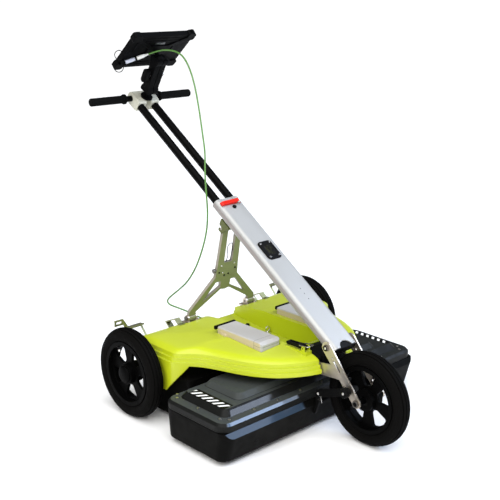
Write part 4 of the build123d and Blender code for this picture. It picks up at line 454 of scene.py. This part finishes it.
def battery_plastic():
    """Pale battery case with warmer sides, which are painted light, and a seam round its front end.
    """
    shader = Shader("battery_plastic", 0.42, Specular_IOR_Level=0.4)
    y, z = shader.axes()[1:]
    along = y - axle_y
    side = shader.facing(-ACROSS) + shader.facing(ACROSS)
    cloud = shader.noise(14.0, 4.0)
    case = shader.mix(cloud, tint(BATTERY, 0.96), tint(BATTERY, 1.04))
    seam = abs(along - SEAM_Y) < SEAM_HALF
    ledge = (abs(z - LEDGE_Z) < LEDGE_HALF) * (along < SEAM_Y)
    # Painted light: faces pointing sideways are mixed towards a warmer sand tone
    shade = shader.mix(side, case, SAND)
    shader.set("Base Color", shader.mix(seam + ledge, shade, SEAM_GREY))
    shader.gloss(cloud, 0.36, 0.48)
    shader.relief(shader.noise(900.0, 2.0), 0.0001, 0.5, shader.bevel(0.002))
    return shader.material


def grip_rubber():
    """Soft black grip with fine rings along its length."""
    shader = Shader("grip_rubber", 0.8, Specular_IOR_Level=0.05)
    x = shader.axes()[0]
    rings = shader.math("SINE", x * (tau / RING_PITCH), 0.0)
    speck = shader.noise(300.0, 4.0)
    shader.set("Base Color", shader.mix(speck, SOOT, GRIP_DUST))
    shader.relief(rings * 0.35 + speck * 0.4, 0.0006, 0.6)
    return shader.material


def mast_finish():
    """Pale anodised extrusion, drawn along the mast, a little dusty, with painted shade on its
    sides.
    """
    shader = Shader("mast_finish", 0.42, 0.35)
    lines = shader.noise(60.0, 4.0, shader.stretched((1.0, 0.02, 1.0), (MAST_ANGLE, 0, 0)))
    cloud = shader.noise(5.0, 3.0)
    shade = shader.mix(lines, tint(SILVER, 0.95), tint(SILVER, 1.04))
    top = shader.mix(cloud * 0.25, shade, MAST_DUST)
    # Painted shade: faces pointing sideways are mixed towards a darker, warmer grey
    side = shader.facing(ACROSS) + shader.facing(-ACROSS)
    shader.set("Base Color", shader.mix(side, top, MAST_SIDE_SHADE))
    shader.gloss(lines, 0.36, 0.5)
    shader.relief(lines, 0.00005, 0.4, shader.bevel(0.002))
    return shader.material


def window_glass():
    """Dark olive glass with faint tracks behind it."""
    shader = Shader("window_glass", 0.16, Specular_IOR_Level=0.5)
    tracks = shader.noise(240.0, 5.0, shader.stretched((1.0, 0.25, 0.25)))
    share = shader.ramp(tracks, 0.5, 0.62)
    shader.set("Base Color", shader.mix(share, srgb(14, 15, 13), srgb(44, 46, 26)))
    return shader.material


black_plastic = moulded("black_plastic", BLACK, 0.5, Specular_IOR_Level=0.1)
rim_plastic = moulded("rim_plastic", srgb(5, 5, 5), 0.5, edge=0.003, Specular_IOR_Level=0.03)
tablet_plastic = moulded("tablet_plastic", srgb(7, 7, 8), 0.5, Specular_IOR_Level=0.035)
catch_plastic = moulded("catch_plastic", SAND, 0.4, grain=0.0004, grain_scale=260.0, patch=0.1)
white_plastic = moulded("white_plastic", srgb(236, 236, 232), 0.38, patch=0.03)
plug_plastic = moulded("plug_plastic", srgb(196, 200, 214), 0.35, patch=0.05)
red_plastic = moulded("red_plastic", srgb(214, 30, 12), 0.4, patch=0.06, Specular_IOR_Level=0.2)
block_paint = moulded(
    "block_paint", srgb(190, 189, 174), 0.5, grain=0.0002, grain_scale=500.0, patch=0.06
)
hook_paint = moulded("hook_paint", tint(OLIVE, 0.55), 0.5, patch=0.1, Specular_IOR_Level=0.2)
board_plastic = moulded("board_plastic", srgb(38, 64, 44), 0.5)
cable_sheath = moulded("cable_sheath", CABLE, 0.42, patch=0.07, grain=0.00008)
tube_black = moulded("tube_black", srgb(8, 8, 8), 0.42, grain=0.00008, Specular_IOR_Level=0.04)
frame_black = moulded("frame_black", BLACK, 0.55, grain=0.0001, Specular_IOR_Level=0.08)
bare_steel = metal("bare_steel", STEEL, 0.34, (40.0, 1.0, 1.0))
fork_steel = metal("fork_steel", srgb(216, 205, 190), 0.42, (1.0, 0.08, 1.0), (FORK_ANGLE, 0, 0))
handle_steel = metal("handle_steel", srgb(158, 160, 122), 0.45, (0.1, 1.0, 1.0))
dull_steel = metal("dull_steel", srgb(118, 114, 108), 0.4, (40.0, 1.0, 1.0))
black_steel = metal("black_steel", srgb(26, 26, 27), 0.4, (40.0, 1.0, 1.0))
bright_steel = metal("bright_steel", srgb(214, 212, 208), 0.22, (30.0, 1.0, 1.0))
screen_glass = moulded("screen_glass", srgb(10, 11, 14), 0.06, grain=0.0, patch=0.2)
plate_gloss = moulded("plate_gloss", srgb(40, 42, 46), 0.2, patch=0.3)

dress(lime_plastic(), "body_cover")
dress(lid_plastic(), "antenna_lid")
dress(tub_plastic(), "antenna_tub")
dress(olive_paint(), "stay_upper", "stay_lower")
dress(grip_rubber(), "handle_grips")
dress(mast_finish(), "mast_extrusion", "mast_guide")
dress(rim_plastic, "right_rim", "left_rim", "front_rim")
dress(frame_black, "chassis_frame", "link_arms")
dress(hook_paint, "stay_hooks")
dress(tube_black, "handle_tubes", "handle_bar")
dress(fork_steel, "left_fork_plate", "right_fork_plate", "stay_feet")
dress(handle_steel, "lift_handles", "rear_handles")
dress(red_plastic, "clamp_lever")
dress(block_paint, "handle_block")
dress(battery_plastic(), "left_battery", "right_battery")
dress(tablet_plastic, "tablet_case", "tablet_cradle", "power_key")
dress(tablet_plastic, "socket_arm", "arm_knob", "ball_base")
dress(screen_glass, "tablet_screen")
dress(board_plastic, "antenna_array", "control_unit")
dress(black_plastic, "hinge_housing", "latch_lever", "cable_socket", "pivot_knobs", "mast_end_plug")
dress(black_plastic, "mast_cover_plate", "tube_glides")
dress(bare_steel, "rear_axle", "lid_screws", "arm_bolt")
dress(dull_steel, "frame_fasteners", "right_bearings", "left_bearings", "lock_pin")
dress(black_steel, "front_axle", "front_bearings")
dress(bright_steel, "mast_screws")
dress(plug_plastic, "cable_plug")
dress(cable_sheath, "cable_end", "cable_upper", "cable_middle", "cable_lower")
dress(black_plastic, "lanyard")
for side in ("right", "left", "front"):
    low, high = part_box(f"{side}_tyre")
    dress(tyre_rubber(f"{side}_tyre_rubber", (low + high) / 2), f"{side}_tyre")


# Pieces
def new_object(name, data):
    """An object of a mesh, curve, light or camera, in the scene."""
    made = bpy.data.objects.new(name, data)
    bpy.context.scene.collection.objects.link(made)
    return made


def new_piece(name, mesh, material, body):
    """An object of a mesh, with a material, that rides on a body if one is named."""
    made = new_object(name, mesh)
    mesh.materials.append(material)
    if body:
        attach(made, body)
    return made


def spline_through(name, points, radius=0.0):
    """Curve object with one smooth spline that has the points as its control points."""
    curve = bpy.data.curves.new(name, "CURVE")
    curve.dimensions = "3D"
    curve.resolution_u = 12
    curve.bevel_depth = radius
    curve.bevel_resolution = 4
    curve.use_fill_caps = radius > 0
    spline = curve.splines.new("NURBS")
    spline.points.add(len(points) - 1)
    for point, place in zip(spline.points, points):
        point.co = (*place, 1.0)
    spline.order_u = 3
    spline.use_endpoint_u = True
    return new_object(name, curve)


def line_of(points):
    """Points along the smooth spline of a route."""
    guide = spline_through("route", points)
    bpy.context.view_layer.update()
    mesh = bpy.data.meshes.new_from_object(guide)
    line = [vertex.co.copy() for vertex in mesh.vertices]
    bpy.data.objects.remove(guide)
    return line


def circle(middle, right, up, radius, sides):
    """Points of a circle, from its right towards its up, in metres."""
    turns = [tau * step / sides for step in range(sides)]
    return [middle + (right * cos(t) + up * sin(t)) * radius for t in turns]


def skin(made, rings, caps=True):
    """Adds the faces between rings and a cap at both ends, and gives the faces between."""
    count = len(rings[0])
    between = []
    for ring, after in zip(rings, rings[1:]):
        for step in range(count):
            nxt = (step + 1) % count
            between.append(made.faces.new((ring[step], ring[nxt], after[nxt], after[step])))
    if caps:
        made.faces.new(rings[0][::-1])
        made.faces.new(rings[-1])
    return between


def tube_mesh(name, line, radius, sides=14):
    """Closed round tube along a line, with rings that don't twist."""
    made = bmesh.new()
    rings = []
    heading = (line[1] - line[0]).normalized()
    side = heading.orthogonal().normalized()
    for index, point in enumerate(line):
        ahead = line[min(index + 1, len(line) - 1)] - line[max(index - 1, 0)]
        turned = ahead.normalized()
        side = heading.rotation_difference(turned) @ side
        heading = turned
        ring = circle(point, side, heading.cross(side), radius, sides)
        rings.append([made.verts.new(place) for place in ring])
    for face in skin(made, rings):
        face.smooth = True
    mesh = bpy.data.meshes.new(name)
    made.to_mesh(mesh)
    made.free()
    return mesh


def length_of(line):
    """Length of a line of points, in metres."""
    return sum((after - before).length for before, after in zip(line, line[1:]))


# Cable from the tablet to the cover: one line, cut where the joints bend it
CABLE_R = 3 * MM
PLUG_FROM = (-120, 43)
PLUG_TO = (-37, 0)
PLUG_DROP = -22
plug_start = on_tablet(*PLUG_FROM, PLUG_DROP)
plug_stop = on_tablet(*PLUG_TO, PLUG_DROP)
plug_dir = (plug_stop - plug_start).normalized()
cable_route = [
    plug_stop,
    plug_stop + plug_dir * (38 * MM),
    at(34, 334, 1199),
    at(48, 288, 1188),
    at(32, 232, 1160),
    at(12, 180, 1118),
    at(-4, 139, 1060),
    at(-16, 108, 992),
    at(-29, 79, 925),
    at(-41, 51, 860),
    at(-52, 42, 793),
    at(-60, 27, 727),
    at(-64, 14, 655),
    at(-66, 19, 583),
    at(-70, 42, 508),
    at(-76, 72, 437),
    at(-81, 114, 377),
    at(-85, 158, 338),
    at(-88, 192, 311),
    at(-90, 214, 292),
    at(-90, 226, 277),
    at(-88, 218, 266),
    at(-85, 197, 263),
    at(-80, 165, 261),
    at(-73, 118, 257),
    at(-67, 66, 249),
    at(-62.5, 24, 244.8),
]
CABLE_CUTS = {"cable_end": 2, "cable_upper": 5, "cable_middle": 10, "cable_lower": None}


def cable():
    """Green sheath in four lengths, cut along the route at the joints, in place of the CAD lengths.
    """
    whole = line_of(cable_route)
    start = 0
    for name, cut in CABLE_CUTS.items():
        stop = len(whole) - 1
        if cut:
            joint = (cable_route[cut] + cable_route[cut + 1]) / 2
            stop = min(range(len(whole)), key=lambda index: (whole[index] - joint).length)
        line = whole[start : stop + 1]
        mesh = tube_mesh(name, line, CABLE_R)
        sheath = new_piece(f"{name}_sheath", mesh, cable_sheath, None)
        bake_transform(sheath)
        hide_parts(name)
        start = stop


# Lanyard of the pull pin: a springy wire loop in the slot of the stay
LANYARD_R = 1.3 * MM
LANYARD_W = 1.0
lanyard_route = [
    on_stay(-7, 195, LANYARD_W),
    on_stay(1, 214, LANYARD_W),
    on_stay(-6, 236, LANYARD_W),
    on_stay(-9, 254, LANYARD_W),
    on_stay(3, 267, LANYARD_W),
    on_stay(15, 262, LANYARD_W),
    on_stay(18, 242, LANYARD_W),
    on_stay(15, 216, LANYARD_W),
    on_stay(12, 195, LANYARD_W),
]
lanyard_wire = spline_through("lanyard_wire", lanyard_route, LANYARD_R)
lanyard_wire.data.materials.append(black_plastic)
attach(lanyard_wire, "stay")
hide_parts("lanyard")
length_of(line_of(lanyard_route))


# Small fittings, in millimetres
WHEEL_Z = 157.5
FRONT_AXLE_Y = -690.3
VALLEY_Z = 213
VALLEY_RISE = 19
VALLEY_FROM_Y = -200
VALLEY_RUN = 245


def lathe(made, origin, axis, profile, sides=24, hollow=False):
    """Adds a turned shape: profile gives (distance along the axis, radius) in millimetres.

    A hollow shape has a profile that runs back inside to where it starts.
    """
    axis = axis.normalized()
    side = axis.orthogonal().normalized()
    other = axis.cross(side)
    rings = []
    for along, radius in profile:
        ring = circle(origin + axis * (along * MM), side, other, radius * MM, sides)
        rings.append([made.verts.new(place) for place in ring])
    if hollow:
        skin(made, rings + rings[:1], caps=False)
    else:
        skin(made, rings)


def slab(made, middle, right, away, size, corner, height, edge):
    """Adds a plate with rounded corners and a bevelled top, all its sizes in millimetres."""
    normal = right.cross(away).normalized()
    steps = 6
    rings = []
    for lift, inset in ((0, 0), (height - edge, 0), (height, edge)):
        ring = []
        for quarter, (sx, sy) in enumerate(((1, 1), (-1, 1), (-1, -1), (1, -1))):
            for step in range(steps + 1):
                turn = (quarter + step / steps) * pi / 2
                reach = corner - inset
                x = sx * (size[0] / 2 - corner) + cos(turn) * reach
                y = sy * (size[1] / 2 - corner) + sin(turn) * reach
                ring.append(made.verts.new(middle + (right * x + away * y + normal * lift) * MM))
        rings.append(ring)
    skin(made, rings)


def fitting(name, made, material, body, sharp=35):
    """Turns what was added into a piece with smooth faces and sharp edges."""
    bmesh.ops.recalc_face_normals(made, faces=made.faces)
    mesh = bpy.data.meshes.new(name)
    made.to_mesh(mesh)
    made.free()
    mesh.shade_smooth()
    mesh.set_sharp_from_angle(angle=radians(sharp))
    return new_piece(name, mesh, material, body)


def screw_head(radius, height):
    """Profile of a cap screw with a hollow drive."""
    drive = radius * 0.5
    outside = [(-0.4, radius), (height * 0.6, radius), (height, radius * 0.78)]
    return [*outside, (height, drive), (height * 0.45, drive)]


def plug():
    """Cable plug under the tablet: grey body, black band, white boot and a ribbed relief."""
    parts = {
        "plug_body": (plug_plastic, [(0, 5.4), (1.5, 7), (30, 7), (33, 6.3), (39, 6.3)]),
        "plug_band": (black_plastic, [(39, 6.9), (40, 7.2), (46, 7.2), (47, 6.6)]),
        "plug_boot": (white_plastic, [(47, 6.2), (49, 7), (72, 6.8), (78, 5.4), (80, 4.4)]),
    }
    ribs = [(80, 4.1)]
    for rib in range(5):
        along = 81 + rib * 2.4
        crest = 4.2 - rib * 0.14
        ribs += [(along, crest), (along + 1.4, crest), (along + 1.6, 3.5), (along + 2.2, 3.5)]
    parts["plug_relief"] = (white_plastic, ribs)
    for name, (material, profile) in parts.items():
        made = bmesh.new()
        lathe(made, plug_start, plug_dir, profile)
        fitting(name, made, material, "tablet")
    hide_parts("cable_plug")


def stay_screws():
    """Cap screws in the hub of the stay."""
    face = 6.0
    rows = {
        "stay_screws": (bright_steel, ((-31, 183), (31, 183), (-21, 153))),
        "stay_bolts": (black_steel, ((38, 164), (-12, 143), (7, 146), (-38, 158))),
    }
    for name, (material, spots) in rows.items():
        made = bmesh.new()
        for x, v in spots:
            lathe(made, on_stay(x, v, face), STAY_FRONT, screw_head(3.4, 2.4), 16)
        fitting(name, made, material, "stay")


def wheel_valves():
    """Valve stem in the rim of each wheel, with a bright cap."""
    barrel_r = 98.9
    stems = {
        "front_wheel": (-16, FRONT_AXLE_Y, radians(109)),
        "right_wheel": (-446, 0, radians(60)),
        "left_wheel": (446, 0, radians(120)),
    }
    for body, (x, y, turn) in stems.items():
        outward = Vector((0, cos(turn), sin(turn)))
        foot = at(x, y, WHEEL_Z) + outward * (barrel_r * MM)
        made = bmesh.new()
        lathe(made, foot, -outward, [(-1, 4.5), (3, 4.2), (5, 2.9), (13, 2.7)], 16)
        fitting(f"{body}_valve", made, black_plastic, body)
        made = bmesh.new()
        tip = foot - outward * (13 * MM)
        lathe(made, tip, -outward, [(-0.5, 3.4), (0.5, 3.7), (6, 3.7), (7.5, 2.6)], 16)
        fitting(f"{body}_valve_cap", made, bright_steel, body)


def hub_caps():
    """Domed black cap over the axle nut of each rear wheel."""
    outside = [(0.2, 30), (4, 30), (8, 26), (10.6, 15), (11.2, 0.6)]
    inside = [(10.2, 0.6), (9.6, 14.4), (7.2, 24.6), (3.5, 28.4), (0.2, 28.4)]
    for side, sign in (("right", -1), ("left", 1)):
        made = bmesh.new()
        lathe(made, at(sign * 455.5, 0, WHEEL_Z), ACROSS * sign, outside + inside, 32, True)
        fitting(f"{side}_hub_cap", made, rim_plastic, f"{side}_wheel", 50)


def mast_hole_shade():
    """Dark strip inside the mast, behind its three threaded holes, that paints the shade in them.
    """
    made = bmesh.new()
    slab(made, on_mast(0, 206, 12.4), ACROSS, MAST_DIR, (22, 84), 3, 1.2, 0.3)
    fitting("mast_hole_shade", made, black_plastic, "mast")


def valley_floor(y):
    """Height of the cover's valley floor."""
    return VALLEY_Z + VALLEY_RISE * max(0, (y - VALLEY_FROM_Y) / VALLEY_RUN)


def cover_fittings():
    """Lashing ring and sealing plug on the floor of the cover's valley."""
    x, y = 66, -160
    foot = at(x, y, valley_floor(y))
    made = bmesh.new()
    lathe(made, foot, UP, [(0, 13), (1.5, 13), (3, 11), (4.5, 6.5), (8, 5)])
    fitting("lashing_base", made, bright_steel, "chassis")
    loop = circle(foot + UP * (15 * MM), -UP, ACROSS, 9.5 * MM, 10)
    mesh = tube_mesh("lashing_ring", line_of(loop + loop[:1]), 2.2 * MM, 10)
    new_piece("lashing_ring", mesh, bright_steel, "chassis")
    x, y = 52, -68
    made = bmesh.new()
    lathe(made, at(x, y, valley_floor(y)), UP, [(-1, 8), (4, 8), (6, 6.5), (6, 3), (4.5, 3)])
    fitting("sealing_plug", made, black_plastic, "chassis")


def battery_fittings():
    """Catch on the outer side of each battery and the black pull along its rear edge."""
    for side, sign in (("right", -1), ("left", 1)):
        along = Vector((0, sign, 0))
        made = bmesh.new()
        slab(made, at(sign * 186.8, -205, 286), along, UP, (30, 15), 4, 4.2, 1.2)
        slab(made, at(sign * 190.6, -212, 286), along, UP, (9, 10), 3, 2.4, 1.0)
        fitting(f"{side}_battery_catch", made, catch_plastic, f"{side}_pack")
        made = bmesh.new()
        slab(made, at(sign * 147, -168.2, 304), -ACROSS, UP, (96, 13), 4, 7, 1.5)
        fitting(f"{side}_battery_pull", made, black_plastic, f"{side}_pack")


def lever_cap():
    """Black cap on the screw beside the clamp lever."""
    made = bmesh.new()
    lathe(made, on_mast(0, 624, 18.9), MAST_UP, [(0, 7.5), (4.5, 7.5), (6, 6)])
    fitting("lever_cap", made, black_plastic, "mast")


def mast_window():
    """Dark window in the plate on the mast."""
    made = bmesh.new()
    slab(made, on_mast(0, 409, 22.9), ACROSS, MAST_DIR, (30, 44), 4, 0.6, 0.3)
    fitting("mast_window", made, window_glass(), "mast")


def tub_plug():
    """Round plug in the front wall of the tub."""
    profile = [(-2, 6.5), (0.8, 6.5), (1.6, 5.6), (1.6, 2.6), (0.4, 2.6)]
    made = bmesh.new()
    lathe(made, at(-327, -512.2, 56.6), Vector((0, -1, 0)), profile)
    fitting("tub_plug", made, black_plastic, "antenna")


def link_bolts():
    """Screws in the knobs and the mast's pivot, and a bolt with a small plate at each lug."""
    heads, plates, rings = bmesh.new(), bmesh.new(), bmesh.new()
    for sign in (-1, 1):
        out = ACROSS * sign
        pivot = at(sign * 68.2, *PIVOT_YZ)
        lathe(heads, pivot, out, screw_head(4.8, 2.2), 16)
        lathe(rings, pivot, out, [(0, 9.4), (0.9, 9.4), (0.9, 6.2), (0, 6.2)], hollow=True)
        lathe(heads, at(sign * 86.2, -656, 189), out, screw_head(4.6, 3), 16)
        lathe(plates, at(sign * 71, -536, 145), out, screw_head(5, 3), 16)
        lathe(plates, at(sign * 70.6, -546, 127), out, [(0, 13), (1.4, 13), (1.9, 12)], 3)
    fitting("knob_screws", heads, bright_steel, "chassis")
    fitting("lug_bolts", plates, bright_steel, "antenna")
    fitting("pivot_washers", rings, black_steel, "chassis")


def latch_bail():
    """Bright wire that the latch closes on."""
    foot_y, foot_z, rise = -470, 301.5, 0.1
    near = [(-67, foot_y), (-67, -478), (-67, -506), (-70, -509)]
    far = [(-92, -509), (-95, -506), (-95, -478), (-95, foot_y)]
    line = line_of([at(x, y, foot_z - rise * (y - foot_y)) for x, y in near + far])
    mesh = tube_mesh("latch_bail", line, 1.7 * MM, 10)
    new_piece("latch_bail", mesh, bright_steel, "chassis")


def wire_ring(name, middle, radius, body):
    """Thin wire ring that hangs across the photograph's view."""
    right = Vector((cos(CAMERA_AZIMUTH), sin(CAMERA_AZIMUTH), 0))
    loop = circle(middle, UP, right, radius * MM, 12)
    mesh = tube_mesh(name, line_of(loop + loop[:1]), 1.5 * MM, 8)
    new_piece(name, mesh, black_plastic, body)


def tablet_fittings():
    """Ribs, a plate, a clip's screw and two wire rings, on the tablet's back and right edge."""
    wire_ring("corner_ring", at(-127, 431, 1137), 17, "tablet")
    wire_ring("edge_ring", at(-139, 409, 1184), 17, "tablet")
    low = -11.0
    right, away = -ACROSS, TABLET_BACK
    made = bmesh.new()
    for v in (-74, -60, 62, 74):
        slab(made, on_tablet(0, v, low), right, away, (150, 6), 2.5, 1.6, 0.8)
    for u in (-88, 88):
        slab(made, on_tablet(u, -30, low), right, away, (46, 60), 6, 2.2, 1.0)
    fitting("tablet_ribs", made, tablet_plastic, "tablet")
    made = bmesh.new()
    slab(made, on_tablet(-2, -46, low), right, away, (44, 12), 4, 1.2, 0.5)
    fitting("tablet_plate", made, plate_gloss, "tablet")
    made = bmesh.new()
    knob = on_tablet(123, -92, 0)
    lathe(made, knob, -TABLET_BACK, [(-8, 3), (1, 3), (1.5, 6), (3, 6.5), (8, 6.5), (9.5, 5.2)], 12)
    fitting("clip_screw", made, tablet_plastic, "tablet")


plug()
cable()
stay_screws()
wheel_valves()
hub_caps()
mast_hole_shade()
cover_fittings()
battery_fittings()
lever_cap()
mast_window()
tub_plug()
link_bolts()
latch_bail()
tablet_fittings()


# Stage: floor, light and camera
WORLD_STRENGTH = 0.2
SUN_STRENGTH = 3.3
SUN_WIDTH = radians(70)
SUN_TURN = (radians(18), radians(-22), 0)
COOL_WATTS = 440
FILL_WATTS = 55


def floor():
    """Plain pale floor."""
    half = 300.0
    mesh = bpy.data.meshes.new("floor")
    corners = [(-half, -half, 0), (half, -half, 0), (half, half, 0), (-half, half, 0)]
    mesh.from_pydata(corners, [], [(0, 1, 2, 3)])
    shader = Shader("floor_paint", 0.9, Specular_IOR_Level=0.0)
    shader.set("Base Color", srgb(250, 250, 250))
    mesh.materials.append(shader.material)
    made = new_object("floor", mesh)


def backdrop():
    """Pale wall far round the floor, that only the camera sees."""
    radius, low, high, sides = 80.0, -1.0, 90.0, 48
    turns = [tau * step / sides for step in range(sides)]
    places = [(radius * cos(t), radius * sin(t), z) for z in (low, high) for t in turns]
    faces = [(k, (k + 1) % sides, sides + (k + 1) % sides, sides + k) for k in range(sides)]
    mesh = bpy.data.meshes.new("backdrop")
    mesh.from_pydata(places, [], faces)
    shader = Shader("backdrop_paint", 1.0, Specular_IOR_Level=0.0, Emission_Strength=1.0)
    shader.set("Base Color", srgb(0, 0, 0))
    shader.set("Emission Color", srgb(255, 255, 255))
    mesh.materials.append(shader.material)
    made = new_object("backdrop", mesh)
    made.visible_diffuse = made.visible_glossy = False
    made.visible_transmission = made.visible_shadow = False


def soft_light(name, place, target, size, power, colour):
    """Square soft box that faces a target."""
    lamp = bpy.data.lights.new(name, "AREA")
    lamp.shape = "RECTANGLE"
    lamp.size, lamp.size_y = size
    lamp.energy = power
    lamp.color = colour[:3]
    made = new_object(name, lamp)
    made.location = place
    made.rotation_mode = "QUATERNION"
    made.rotation_quaternion = (target - place).to_track_quat("-Z", "Y")


def light():
    """White surroundings, a high soft sun, a cool box on the cart's left, a fill on its right."""
    world = bpy.data.worlds.new("studio")
    bpy.context.scene.world = world
    world.use_nodes = True
    background = world.node_tree.nodes["Background"]
    background.inputs["Color"].default_value = srgb(250, 250, 252)
    background.inputs["Strength"].default_value = WORLD_STRENGTH
    sun = bpy.data.lights.new("sun", "SUN")
    sun.energy = SUN_STRENGTH
    sun.angle = SUN_WIDTH
    new_object("sun", sun).rotation_euler = SUN_TURN
    middle = at(0, -200, 300)
    cool, warm = srgb(212, 228, 255), srgb(255, 252, 246)
    soft_light("cool_box", at(5200, -3800, 5000), middle, (4.8, 4.0), COOL_WATTS, cool)
    soft_light("fill_box", at(-3600, -1500, 2000), middle, (2.6, 2.2), FILL_WATTS, warm)


def camera():
    """Camera at the photograph's place and angle."""
    data = bpy.data.cameras.new("camera")
    data.sensor_width = 36.0
    data.lens = FOCAL_PX / FRAME_PX * data.sensor_width
    made = new_object("camera", data)
    a, e = CAMERA_AZIMUTH, CAMERA_ELEVATION
    back = Vector((sin(a) * cos(e), -cos(a) * cos(e), sin(e)))
    made.location = CAMERA_AT
    made.rotation_mode = "QUATERNION"
    roll = Matrix.Rotation(CAMERA_ROLL, 3, "Z").to_quaternion()
    made.rotation_quaternion = (-back).to_track_quat("-Z", "Y") @ roll
    bpy.context.scene.camera = made
    bpy.context.scene.view_settings.view_transform = "Standard"


floor()
backdrop()
light()
camera()
